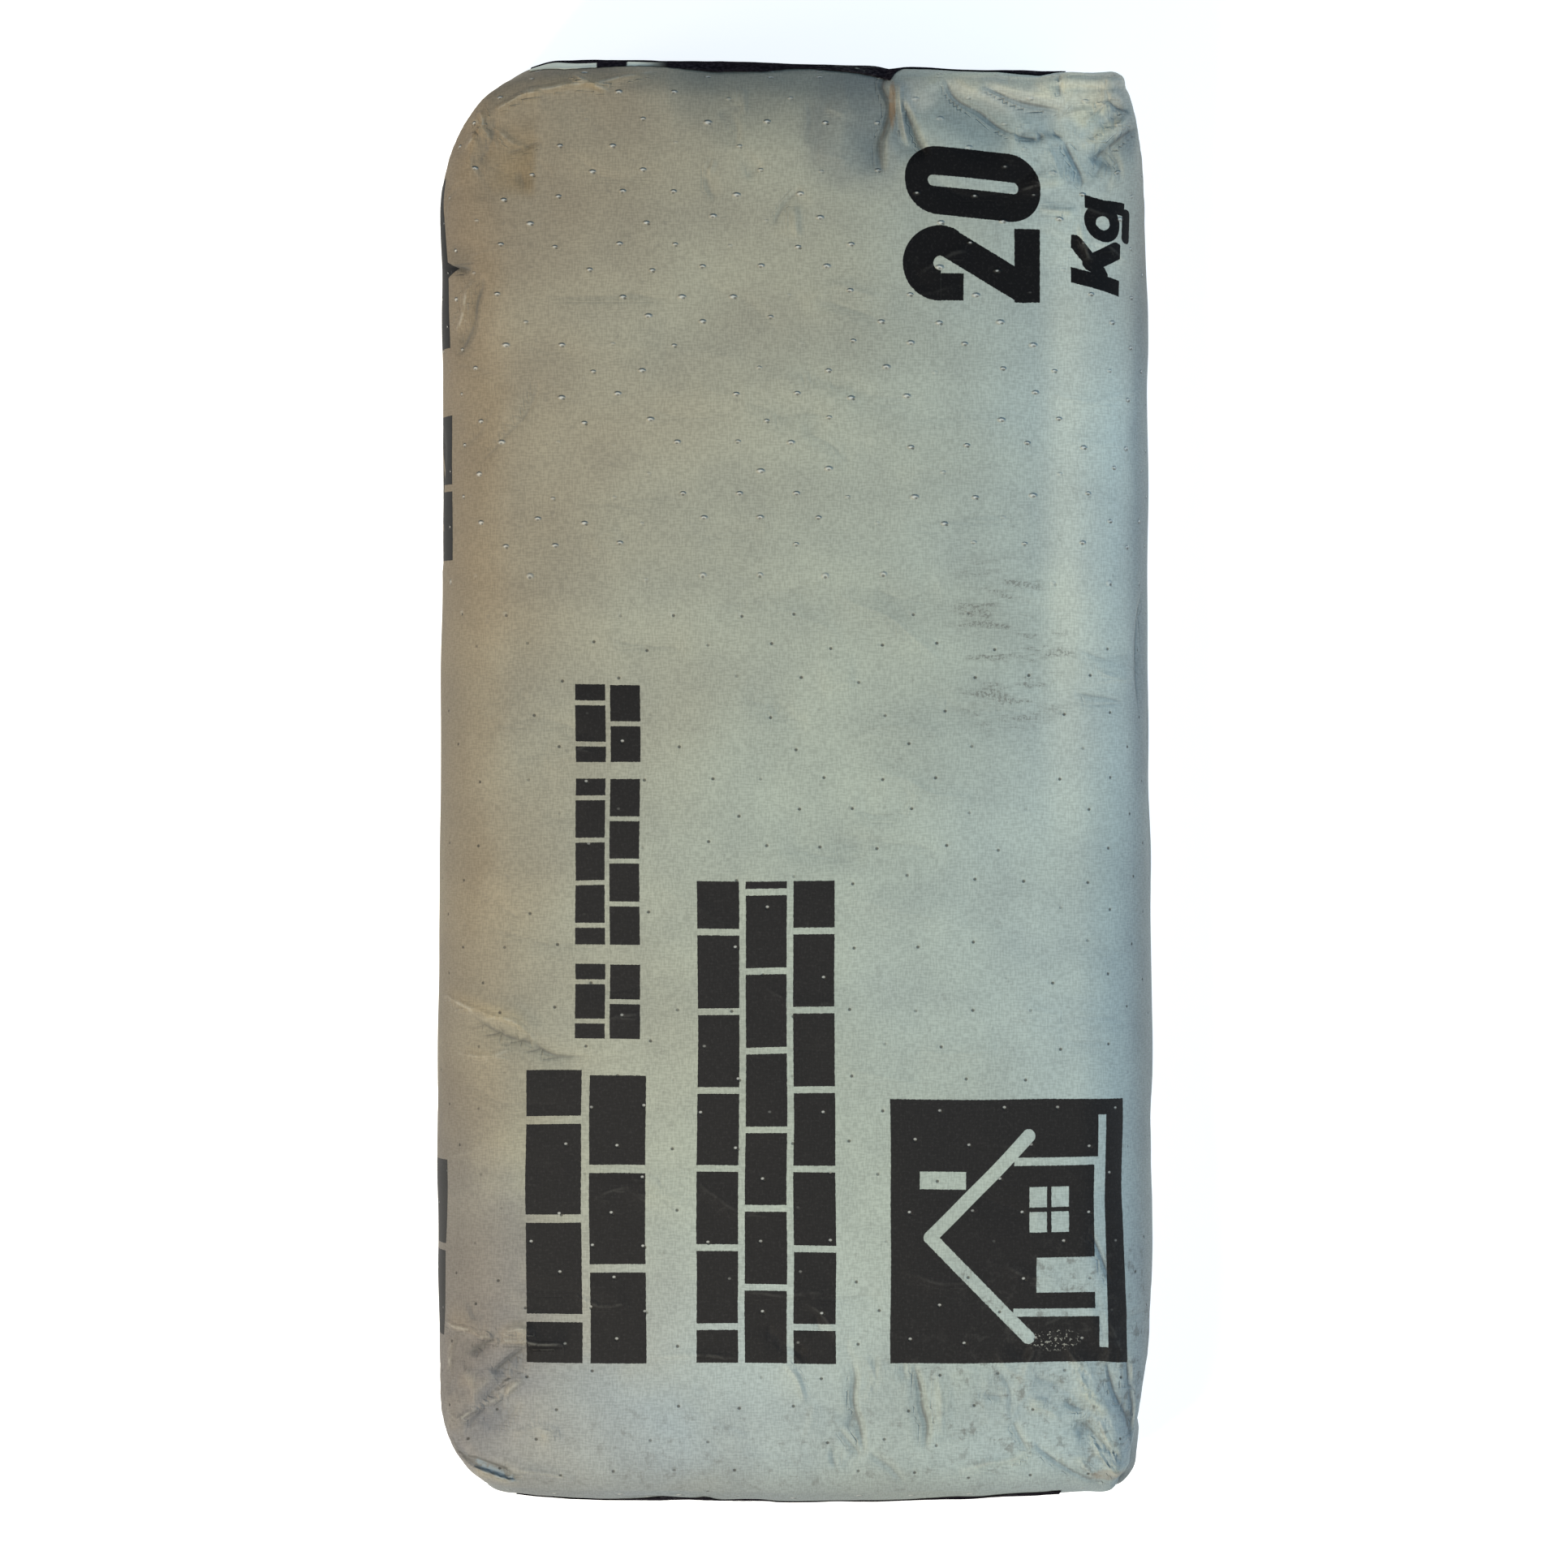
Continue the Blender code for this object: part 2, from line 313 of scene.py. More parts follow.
def fold(x, y, points, rise, left, right, open_start=False, open_end=False):
    """(height, strength, distance to the line, negative on its right) at each place.

    All lengths of the fold are in millimetres, and so is the distance.
    """
    points = rounded(points) * MM
    travel = travelled(points, 0)
    height, full, line = np.zeros_like(x), np.zeros_like(x), np.full_like(x, LINE_REACH)
    margin = max(left, right) * MM
    low, high = points.min(0) - margin, points.max(0) + margin
    near = np.flatnonzero((x > low[0]) & (x < high[0]) & (y > low[1]) & (y < high[1]))
    if not len(near):
        return height, full, line
    place = np.stack((x[near], y[near]), axis=-1)
    best = np.full(len(near), np.inf)
    reach, run, hand = np.zeros(len(near)), np.zeros(len(near)), np.ones(len(near))
    for start, end, before in zip(points, points[1:], travel):
        step = end - start
        share = np.clip((place - start) @ step / (step @ step), 0, 1)
        off = place - start - share[:, None] * step
        distance = np.linalg.norm(off, axis=1)
        on_left = step[0] * off[:, 1] - step[1] * off[:, 0] > 0
        closer = distance < best
        best = np.where(closer, distance, best)
        reach = np.where(closer, np.where(on_left, left, right) * MM, reach)
        hand = np.where(closer, np.where(on_left, 1.0, -1.0), hand)
        run = np.where(closer, before + share * np.linalg.norm(step), run)
    fade = FADE_SHARE * travel[-1]
    strength = np.ones(len(near))
    if not open_start:
        strength = np.minimum(strength, run / fade)
    if not open_end:
        strength = np.minimum(strength, (travel[-1] - run) / fade)
    strength = strength * (2 - strength)
    softness = FOLD_ROUNDING * MM
    rounded_off = np.hypot(best, softness) - softness
    slope = np.clip(1 - rounded_off / (np.hypot(reach, softness) - softness), 0, 1)
    height[near] = rise * MM * strength * slope ** FOLD_SHARPNESS
    full[near] = strength * min(1.0, abs(rise) / FULL_LINE_RISE) ** 1.5
    line[near] = hand * best / MM
    return height, full, line


def tilted(points, length, spread, random):
    """(places along a random direction, in waves of about this length; a slow bend there)."""
    direction = random.normal(size=3)
    direction = direction / np.linalg.norm(direction)
    side = np.cross(direction, ASKEW)
    wave = length * random.uniform(*spread)
    phase = random.uniform(0, 1)
    bend = np.sin(points @ side / wave * 3.4 + phase * 9)
    return points @ direction / wave + phase, bend


def waves(points, length, random, count=9):
    """Smooth swellings of about this length, from -1 to 1."""
    total = np.zeros(len(points))
    for _ in range(count):
        run, bend = tilted(points, length, (0.7, 1.5), random)
        total += np.sin(2 * math.pi * run + 0.9 * bend)
    return total / count * 1.6


def facets(points, length, random, count=7):
    """A crumple: flat facets of about this length that meet in sharp creases, from -1 to 1."""
    total = np.zeros(len(points))
    for _ in range(count):
        run, bend = tilted(points, length, (0.8, 1.9), random)
        run = run + 0.22 * bend
        total += 4 * abs(run - np.floor(run + 0.5)) - 1
    return total / count * 1.5


# Folds of the printed face, in millimetres from the middle of the sack: the line's points,
# how far it stands up, and its reach to the left and to the right of its direction. A True
# after them keeps its start from fading out, and a second True its end.
FACE_FOLDS = [
    # the face sinks towards the rim of the valve end, up to the tuck
    ([(-50, 284), (-24, 285), (6, 285), (36, 283)], -4.9, 6, 36),
    # the tuck beside the valve, its narrow lip, and the bluish slope next to it
    (
        [(37, 283), (36, 277), (34.2, 272.8), (38.4, 265.7), (35.8, 256.8), (33, 252), (34.5, 240)],
        -4.3, 2.1, 15.3, True,
    ),
    ([(41, 276), (41, 268), (43, 258), (45, 250)], 2.3, 6, 2.1),
    ([(42, 268), (46.5, 258), (51.5, 246)], -3.6, 1.8, 11),
    # the valve corner, raised to its rim and crushed: two hollows and the knot between them
    ([(43, 285.5), (70, 285.5), (100, 284.5), (128, 282)], 4.4, 5, 22),
    ([(58, 278), (61.7, 270.8), (72.9, 262.9), (83.8, 256.2), (88, 254.5)], -5.0, 7, 18),
    ([(74, 274.5), (84, 270), (93, 266.5), (106, 265)], -2.6, 3.6, 13.6),
    (
        [(85, 255.3), (90, 254), (95.6, 252.3), (97.8, 254.3), (102.3, 255.5), (108, 252.5)],
        -2.3, 6, 2.4,
    ),
    ([(106.4, 253), (110, 244), (114, 234)], -2, 10.2, 4.2),
    ([(99, 251), (102, 243), (105, 235)], 0.8, 2.8, 8.5),
    ([(113, 257), (117, 262), (121.1, 267.3), (127.8, 274)], 2.8, 10.2, 4.2),
    ([(122, 270), (128, 266), (133, 264)], -1.8, 3.9, 2.1),
    ([(113, 250), (122, 254.5), (133, 263)], 2.3, 3.9, 2.1),
    ([(117, 243), (120.5, 248.2), (126, 253), (135, 258.5)], -3.6, 2.4, 13.6, False, True),
    ([(96.8, 224.8), (104, 225), (111, 224.2)], 1.2, 2.9, 1.6),
    ([(112, 221), (114, 212), (117, 203)], 0.8, 2.9, 1.6),
    ([(104, 281), (103, 276), (105, 270)], -1.3, 1.6, 3.9),
    # the slumped left corner of the valve end
    (
        [(-108, 272), (-96.4, 273.4), (-86, 275), (-74.4, 275.6), (-67, 277.2), (-54, 281)],
        2.0, 10.2, 3.6,
    ),
    ([(-89, 278), (-73, 272)], 1.8, 2.9, 1.6),
    ([(-118.5, 265), (-111.1, 269.9), (-99, 272.6)], 1.8, 2.1, 8.5),
    ([(-131, 249), (-126, 256), (-122.3, 259.5), (-124.8, 265)], 2.3, 2.8, 10.2),
    ([(-118, 262), (-119, 252), (-124, 243)], -1.1, 3.5, 11.9),
    # dents in the left edge, and drag marks beside them
    ([(-142, 205), (-134, 204), (-128, 202)], -3.4, 12, 4.2, True),
    ([(-123, 200), (-125, 190), (-128, 178), (-133, 168)], -2.2, 2.8, 11),
    ([(-128, 199), (-131, 188), (-134, 176)], 2.3, 6.8, 2.1),
    ([(-101, 158), (-106, 145), (-116, 133), (-126, 124)], -0.9, 15.3, 5),
    ([(-118, 148), (-124, 138), (-131, 130)], -0.7, 10.2, 4),
    ([(-139, -86), (-128, -90), (-112, -94), (-102, -104)], 2.3, 8.5, 2.8, True),
    ([(-128, -92), (-116, -100), (-100, -106), (-82, -110)], -1.8, 3.5, 10.2),
    ([(-134, -108), (-124, -110), (-112, -106)], 1.3, 6.8, 2.8),
    # the lower left corner, with a fold that runs under the print
    (
        [(-138, -215), (-121.6, -218.8), (-114.9, -221), (-100.5, -221.4), (-90, -223.5)],
        2.6, 13.6, 2.4, True,
    ),
    ([(-134.4, -218), (-136.2, -226), (-137, -236)], 1.8, 1.6, 6.8),
    ([(-129, -226), (-121.6, -220.7), (-117, -218.8)], -1.8, 1.6, 3.9),
    ([(-116, -218.4), (-111.4, -216), (-105, -216)], 1.3, 3.9, 2.1),
    ([(-120, -233.5), (-111.4, -228.7), (-105, -222.5)], -1.6, 2.8, 8),
    (
        [(-105, -234.5), (-114.3, -241.8), (-121.6, -245), (-129, -250.7), (-137, -255)],
        2.0, 3.5, 14, False, True,
    ),
    ([(-106, -230), (-115, -237), (-125, -245)], -1.4, 4, 9),
    ([(-135, -259), (-133, -266)], -1.6, 3.9, 2.1),
    ([(-131, -266.5), (-122, -270.5), (-108, -275.5)], -2.3, 3.9, 2.1, True),
    ([(-127, -270), (-118, -273.5), (-108, -277)], 2.3, 1.8, 3.9),
    ([(-112, -272), (-98, -274), (-86, -276)], 1.2, 3.9, 2.1),
    ([(-57, -226.8), (-37, -226.8), (-20, -226.5)], 0.7, 2.9, 1.6),
    # upright tucks above the closed end
    ([(22, -228), (23.7, -244), (27, -267)], -1.4, 1.6, 4.6),
    ([(18, -255), (25.5, -267)], -0.9, 1.6, 3.2),
    ([(42.4, -228), (43.4, -237)], -0.8, 1.6, 3.2),
    ([(46.4, -229), (49.6, -239.2), (51.2, -250.1), (52.7, -264)], -1.6, 1.7, 5.2),
    ([(57, -232), (56, -246), (58, -258)], 0.9, 6, 3.2),
    ([(85.4, -252), (91, -263)], -1.1, 1.7, 4),
    ([(28, -264), (36, -269.5), (44, -277)], -0.8, 2.4, 2.1),
    # the lower right corner, where many creases run together
    ([(93.8, -260.3), (98.6, -265.8), (110.9, -272.7), (120, -277)], -1.2, 4.5, 2.4, False, True),
    ([(106, -244.5), (115, -248.2)], -1.5, 3.9, 2.1),
    ([(109.6, -228), (117, -245), (123.3, -260.3), (129, -274)], 1.5, 9, 4, False, True),
    ([(121, -226), (128.5, -245), (135, -266)], -2.3, 4.5, 7, False, True),
    ([(64, -272.8), (72.6, -270.5), (86.3, -267.3), (94.6, -261)], 1.2, 3, 7),
    ([(110.9, -250.8), (119.2, -259.1), (130, -268.6)], -1.3, 2.2, 6),
    ([(116, -258), (122, -268), (128, -275)], 1.8, 3.9, 2.1, False, True),
    ([(130.7, -225), (132.2, -236), (133.6, -260)], -1.7, 2.4, 3.5),
    ([(116, -176), (120, -186), (125, -199)], -1.6, 10.2, 3.5),
    # the right edge's own small crumples
    ([(110, 35), (118, 33), (130, 31)], -0.9, 4.5, 2.6),
    ([(118, 44), (126, 40), (136, 41)], 0.9, 3.9, 2.1),
    ([(112, 52), (121, 47), (133, 50)], -0.7, 6.8, 2.6),
]

# Folds of a flank, in millimetres along the sack and above mid-height: the triangle that a
# round flank forms where it meets a square end, and a few soft dents.
FLANK_FOLDS = [
    ([(290, 44), (262, 30), (232, 14), (196, -2)], -3.4, 16, 12),
    ([(290, -44), (264, -32), (238, -20), (200, -6)], -3.0, 12, 16, True),
    ([(286, -4), (262, 0), (236, -3)], -3.0, 14, 14, True),
    ([(272, 20), (258, -6), (262, -26)], -1.4, 6, 8),
    ([(-290, 44), (-258, 28), (-226, 12), (-188, 0)], -3.2, 12, 15),
    ([(-290, -44), (-262, -30), (-236, -20), (-206, -4)], -3.0, 16, 12, True),
    ([(-286, 2), (-262, -3), (-238, 0)], -2.8, 14, 14, True),
    ([(-266, 22), (-254, -2), (-262, -24)], -1.4, 8, 6),
    ([(140, 18), (112, 4), (84, 10)], -1.6, 9, 12),
    ([(30, -20), (-6, -8), (-48, -16)], -1.3, 14, 10),
    ([(-120, 8), (-146, -10), (-170, -4)], -1.5, 12, 9),
    ([(70, -26), (48, -36), (20, -34)], -1.2, 7, 9),
]

# Folds of an end, in millimetres across the sack and above mid-height: the flaps' edges
# below the cover sheet, and the corners folded in beside it.
END_FOLDS = [
    ([(-146, 50), (-128, 30), (-112, 4)], -2.0, 5, 7),
    ([(-146, -50), (-128, -32), (-112, -4)], -2.0, 7, 5, True),
    ([(146, 50), (130, 30), (114, 4)], -2.0, 7, 5),
    ([(146, -50), (130, -32), (114, -4)], -2.0, 5, 7, True),
    ([(-112, 2), (-40, 4), (40, 1), (114, 3)], -0.9, 2, 12),
    ([(-96, 44), (-60, 30), (-30, 34)], -1.4, 9, 7),
    ([(70, -40), (36, -28), (8, -34)], -1.3, 8, 8),
    ([(30, 46), (44, 20), (38, -8)], -1.1, 8, 6),
]

# The valve corner stands out a little from the end, above the crushed sleeve.
VALVE_CREST = [
    ([(96, 52), (112, 54), (124, 54), (137, 46)], 3.2, 20, 22, False, True),
]

# Where a corner bulges out a little, or is drawn in: its place, how far, and how wide.
CORNER_BULGES = [
    ((-127, 265), 1.2, 13),
    ((-107, 284), -0.9, 6),
    ((-130, -272), 1.3, 10),
    ((-113, -284), -0.6, 6),
    ((134, -279), 1.4, 8),
    ((137, 262), 0.7, 16),
]

# Short creases scattered at each corner: its place, how far they spread, and how many.
CORNER_CREASES = [
    ((126, 276), 52, 26),
    ((132, -276), 66, 56),
    ((-128, 262), 44, 9),
    ((-132, -268), 60, 34),
    ((20, -280), 70, 22),
    ((-20, 286), 70, 10),
]


# Folds made by chance, in millimetres: the range of half their length, how much they bow,
# how far they rise or sink, and their reach on the steep side and on the soft one.
WRINKLE = ((7, 26), 0.25, (0.2, 0.62), (3, 5), (7, 16))
SHORT_CREASE = ((3, 11), 0.22, (0.3, 1.0), (1.5, 2.2), (4, 12))
# how many wrinkles there are, and where they lie, across and up the face
WRINKLES = 110
WRINKLED = ((-132, 132), (-225, 245))
# how much their directions vary, in radians, and how the creases crowd at their corner
WRINKLE_TURN = 0.28
CREASE_AIM, CREASE_TURN = 0.6, 0.55
CREASE_DISTANCES, CREASE_CROWDING = (0.1, 1), 0.8


def chance_fold(random, middle, turn, form):
    """One such fold through a place and in a direction, as a row of a table of folds."""
    halves, bow, rises, steep, soft = form
    step = np.array((math.cos(turn), math.sin(turn))) * random.uniform(*halves)
    bend = np.array((-step[1], step[0])) * random.normal(0, bow)
    rise = random.choice((-1, 1)) * random.uniform(*rises)
    reaches = random.permutation((random.uniform(*steep), random.uniform(*soft)))
    return [middle - step, middle + bend, middle + step], rise, *reaches


def wrinkles(random):
    """Long faint wrinkles of the face, most of them across the sack."""
    for _ in range(WRINKLES):
        middle = np.array([random.uniform(*span) for span in WRINKLED])
        yield chance_fold(random, middle, random.normal(0, WRINKLE_TURN), WRINKLE)


def scattered_folds(random):
    """Short folds of the face, most of them pointing to their corner."""
    for corner, spread, count in CORNER_CREASES:
        for _ in range(count):
            inward = math.atan2(-corner[1], -corner[0]) + random.normal(0, CREASE_AIM)
            distance = spread * random.uniform(*CREASE_DISTANCES) ** CREASE_CROWDING
            middle = corner + distance * np.array((math.cos(inward), math.sin(inward)))
            turn = inward + random.normal(0, CREASE_TURN)
            yield chance_fold(random, middle, turn, SHORT_CREASE)


# The crumple between the folds: its facets' length in metres, and how high they stand in
# millimetres everywhere, then how much higher at the ends, at the corners and beside them.
CRUMPLES = [
    (0.034, 0.12, 0.36, 0.50, 0.35),
    (0.014, 0.02, 0.16, 0.34, 0.10),
]
END_CRUMPLE = (0.012, 0.075)
CORNER_CRUMPLE = (0.020, 0.085)
BESIDE_ACROSS = (0.10, 0.135)
BESIDE_ALONG = (0.10, 0.22)


def crumples(points, random):
    """Heights in millimetres of the large and of the small facets."""
    from_side = np.maximum(0, HALF_WIDTH - abs(points[:, 0]))
    from_end = HALF_LENGTH - abs(points[:, 1])
    ends = 1 - smooth_step(from_end, *END_CRUMPLE)
    corner = 1 - smooth_step(np.hypot(from_side, from_end), *CORNER_CRUMPLE)
    beside = smooth_step(abs(points[:, 0]), *BESIDE_ACROSS)
    beside = beside * (1 - smooth_step(from_end, *BESIDE_ALONG))
    for length, everywhere, more_at_end, more_at_corner, more_beside in CRUMPLES:
        height = everywhere + more_at_end * ends + more_at_corner * corner + more_beside * beside
        yield height * facets(points, length, random)


# How far a fold's line wavers along X, Y and Z, in millimetres, and over what length.
FOLD_WAVERS = [(1.1, 0.017), (1.1, 0.019), (1.5, 0.023)]
# Slow waves of the whole sheet, in millimetres high and metres long; the slack runs across.
SLACK, SLACK_LENGTH, SLACK_ACROSS = 0.45, 0.060, (0.35, 1.0, 1.0)
SWELL, SWELL_LENGTH = 0.5, 0.085
RIPPLE, RIPPLE_LENGTH = 0.10, 0.028
# How far the sides and the resting underside lie inside the plain form, in millimetres,
# and up to which height in metres the sack rests flat.
SIDE_INSET = 0.5
RESTING_INSET = 0.3
RESTING_UP_TO = 0.012
# The right flank's folds lie this much further along than the left one's, in millimetres.
RIGHT_FLANK_SHIFT = 7
# From which lean of the surface, and up to which, a fold fades in on each kind of side.
FACE_LEAN = (0.15, 0.6)
FLANK_LEAN = (0.35, 0.7)
END_LEAN = (0.5, 0.8)
# The paint sees a fold's line from this strength on. It sees heights over this span, in
# millimetres, as sunk or raised, and this share of the facets.
LEAST_LINE = 0.02
RAISED_SPAN = 7
FACETS_SHOW = 0.8
FOLD_SEED = 20
CRUMPLE_SEED = 31


def creased(points, normals):
    """The smooth paper's points moved onto its creases, and what the paint needs of them.

    crease is the distance to the nearest crease's line in millimetres, with another sign on
    each side of it; ridge is 1 at a full ridge's line and -1 at a full hollow's; raised is
    0.5 on smooth paper, 1 on high folds and 0 in deep ones.
    """
    random = np.random.default_rng(FOLD_SEED)
    x, y, z = points.T
    warp_x, warp_y, warp_z = [
        waver * MM * waves(points, length, random) for waver, length in FOLD_WAVERS
    ]
    crease, ridge = np.full_like(x, LINE_REACH), np.zeros_like(x)
    on_face = smooth_step(normals[:, 2], *FACE_LEAN)
    on_flank = smooth_step(abs(normals[:, 0]), *FLANK_LEAN)
    on_end = smooth_step(abs(normals[:, 1]), *END_LEAN)
    above_middle = z - HALF_HEIGHT
    face_folds = [*FACE_FOLDS, *scattered_folds(random), *wrinkles(random)]

    def folded(first, second, share, folds):
        height = np.zeros_like(x)
        for path, rise, left, right, *open_ends in folds:
            lift, full, line = fold(first, second, path, rise, left, right, *open_ends)
            height += lift * share
            full = full * share * (1 - smooth_step(abs(line), 0.6 * LINE_REACH, LINE_REACH))
            nearer = (full > LEAST_LINE) & (abs(line) < abs(crease))
            crease[nearer] = line[nearer]
            ridge[nearer] = math.copysign(1, rise) * full[nearer]
        return height

    upwards = folded(x + warp_x, y + warp_y, on_face, face_folds)
    outwards = folded(y + warp_y, above_middle + warp_z, on_flank * (x < 0), FLANK_FOLDS)
    shifted = y - RIGHT_FLANK_SHIFT * MM + warp_y
    outwards += folded(shifted, warp_z - above_middle, on_flank * (x > 0), FLANK_FOLDS)
    valve_end = [*END_FOLDS, *VALVE_CREST]
    outwards += folded(x + warp_x, above_middle + warp_z, on_end * (y > 0), valve_end)
    outwards += folded(warp_x - x, warp_z - above_middle, on_end * (y < 0), END_FOLDS)

    random = np.random.default_rng(CRUMPLE_SEED)
    large, small = crumples(points, random)
    slack = SLACK * waves(points * SLACK_ACROSS, SLACK_LENGTH, random)
    swell = SWELL * MM * waves(points, SWELL_LENGTH, random)
    ripple = RIPPLE * MM * waves(points, RIPPLE_LENGTH, random)
    outwards += MM * ((large + small) * (0.5 + 0.5 * on_face) + slack)
    outwards += swell + ripple
    outwards -= SIDE_INSET * MM * (1 - on_face)
    for (bulge_x, bulge_y), rise, width in CORNER_BULGES:
        away = np.hypot(x - bulge_x * MM, y - bulge_y * MM) / (width * MM)
        outwards += rise * MM * np.exp(-away * away / 2) * (1 - on_face)
    resting = 1 - smooth_step(z, 0.0, RESTING_UP_TO)
    outwards = outwards * (1 - resting) - RESTING_INSET * MM * resting
    shown = upwards / MM + FACETS_SHOW * large + FACETS_SHOW * small
    raised = np.clip(0.5 + shown / RAISED_SPAN, 0, 1)
    moved = points + normals * outwards[:, None]
    moved[:, 2] += upwards
    return moved, {"crease": crease, "ridge": ridge, "raised": raised}


def mesh_object(name, points, faces):
    """A smooth shaded object of these points and faces."""
    data = bpy.data.meshes.new(name)
    data.from_pydata(points.tolist(), [], faces.tolist())
    data.shade_smooth()
    return add_object(name, data)


def point_normals(made):
    found = np.empty(len(made.data.vertices) * 3, np.float32)
    made.data.vertices.foreach_get("normal", found)
    return found.reshape(-1, 3).astype(float)


def move_points(made, points):
    made.data.vertices.foreach_set("co", points.astype(np.float32).reshape(-1))
    made.data.update()


def keep_values(made, name, values):
    kept = made.data.attributes.new(name, "FLOAT", "POINT")
    kept.data.foreach_set("value", values.astype(np.float32))


UNDERSIDE_KEEPS = 0.68
UNDERSIDE_BELOW = 0.0005
UNDERSIDE_FROM_END = 0.02
MOST_GROUP_FACTOR = 1000.0


def coarsen_underside(sack, points):
    """Fewer, larger faces on the flat underside, where nothing is creased."""
    between_ends = abs(points[:, 1]) < HALF_LENGTH - UNDERSIDE_FROM_END
    flat = np.flatnonzero((points[:, 2] < UNDERSIDE_BELOW) & between_ends)
    sack.vertex_groups.new(name="underside").add(flat.tolist(), 1.0, "REPLACE")
    fewer = sack.modifiers.new("fewer", "DECIMATE")
    fewer.ratio = UNDERSIDE_KEEPS
    fewer.vertex_group = "underside"
    fewer.vertex_group_factor = MOST_GROUP_FACTOR
    seen = sack.evaluated_get(bpy.context.evaluated_depsgraph_get())
    data = bpy.data.meshes.new_from_object(seen)
    plain = sack.data
    sack.modifiers.clear()
    sack.vertex_groups.clear()
    sack.data = data
    bpy.data.meshes.remove(plain)


def make_sack():
    points, faces, layout = paper_grid(density=1.0)
    sack = mesh_object("sack_paper", points, faces)
    moved, found = creased(points, point_normals(sack))
    move_points(sack, moved)
    sheet = sack.data.uv_layers.new(name="sheet")
    sheet.uv.foreach_set("vector", layout.astype(np.float32).reshape(-1))
    for name, values in found.items():
        keep_values(sack, name, values)
    coarsen_underside(sack, moved)
    return sack


sack = make_sack()


# The look of the paper: rough grey-green sack kraft, needle-punched so that air can leave
# when it is filled, and printed in black in one pass. The maths below are material nodes.
class Wire:
    """One output of a material node; arithmetic with it adds Math nodes."""

    def __init__(self, paint, socket):
        self.paint = paint
        self.socket = socket

    def maths(self, operation, *others):
        return self.paint.node("ShaderNodeMath", {"operation": operation}, self, *others)

    def __add__(self, other):
        return self.maths("ADD", other)

    def __sub__(self, other):
        return self.maths("SUBTRACT", other)

    def __mul__(self, other):
        return self.maths("MULTIPLY", other)

    def __truediv__(self, other):
        return self.maths("DIVIDE", other)

    def __rsub__(self, other):
        return self.paint.node("ShaderNodeMath", {"operation": "SUBTRACT"}, other, self)

    __radd__ = __add__
    __rmul__ = __mul__

    def __abs__(self):
        return self.maths("ABSOLUTE")

    def least(self, other):
        return self.maths("MINIMUM", other)

    def most(self, other):
        return self.maths("MAXIMUM", other)

    def smooth(self, low, high):
        """0 below low, 1 above high, and a smooth step between."""
        settings = {"interpolation_type": "SMOOTHSTEP"}
        return self.paint.node("ShaderNodeMapRange", settings, self, low, high)

    def output(self, name):
        return Wire(self.paint, self.socket.node.outputs[name])


class Paint:
    """A material, its Principled shader, and the one way that its other nodes are made."""

    def __init__(self, name, roughness=0.8, specular=0.3):
        self.material = bpy.data.materials.new(name)
        self.material.use_nodes = True
        self.tree = self.material.node_tree
        self.shader = self.tree.nodes["Principled BSDF"]
        self.shader.inputs["Roughness"].default_value = roughness
        self.shader.inputs["Specular IOR Level"].default_value = specular

    def node(self, kind, settings, *values, **named):
        """A new node: its settings first, then its sockets' values in order or by name."""
        made = self.tree.nodes.new(kind)
        for setting, value in settings.items():
            setattr(made, setting, value)
        for socket, value in zip(made.inputs, values):
            self.feed(socket, value)
        for name, value in named.items():
            spaced = name.replace("_", " ")
            self.feed(next(s for s in made.inputs if s.enabled and s.name == spaced), value)
        return Wire(self, next(out for out in made.outputs if out.enabled))

    def feed(self, socket, value):
        if isinstance(value, Wire):
            self.tree.links.new(value.socket, socket)
        else:
            socket.default_value = (*value, 1.0) if socket.type == "RGBA" else value

    def finish(self, **values):
        """Feed the shader's own inputs."""
        for name, value in values.items():
            self.feed(self.shader.inputs[name.replace("_", " ")], value)
        return self.material

    def mix(self, share, first, second, blend="MIX"):
        """A colour between two others; blend may be MULTIPLY or another of the Mix node's."""
        settings = {"data_type": "RGBA", "blend_type": blend}
        return self.node("ShaderNodeMix", settings, Factor=share, A=first, B=second)

    def layered(self, colour, *layers, blend="MIX"):
        """The colour with others laid on it in turn, each as (how much, which colour)."""
        for share, layer in layers:
            colour = self.mix(share, colour, layer, blend)
        return colour

    def noise(self, vector, scale, detail=2.0, roughness=0.55, dimensions="2D"):
        settings = {"noise_dimensions": dimensions}
        values = {"Vector": vector, "Scale": scale, "Detail": detail, "Roughness": roughness}
        return self.node("ShaderNodeTexNoise", settings, **values)

    def on_object(self):
        """The place on the sack, in metres."""
        return self.node("ShaderNodeTexCoord", {}).output("Object")

    def kept(self, name):
        """A value kept on the mesh's points."""
        return self.node("ShaderNodeAttribute", {"attribute_name": name}).output("Fac")

    def split(self, vector):
        """The three parts of a vector."""
        parts = self.node("ShaderNodeSeparateXYZ", {}, vector)
        return [parts.output(axis) for axis in "XYZ"]

    def stretched(self, vector, scales):
        """The vector with each axis scaled."""
        return self.node("ShaderNodeVectorMath", {"operation": "MULTIPLY"}, vector, scales)

    def moved(self, vector, step):
        return self.node("ShaderNodeVectorMath", {"operation": "ADD"}, vector, step)

    def bump(self, height):
        """Relief from a height in millimetres."""
        return self.node("ShaderNodeBump", {}, Strength=1.0, Distance=MM, Height=height)


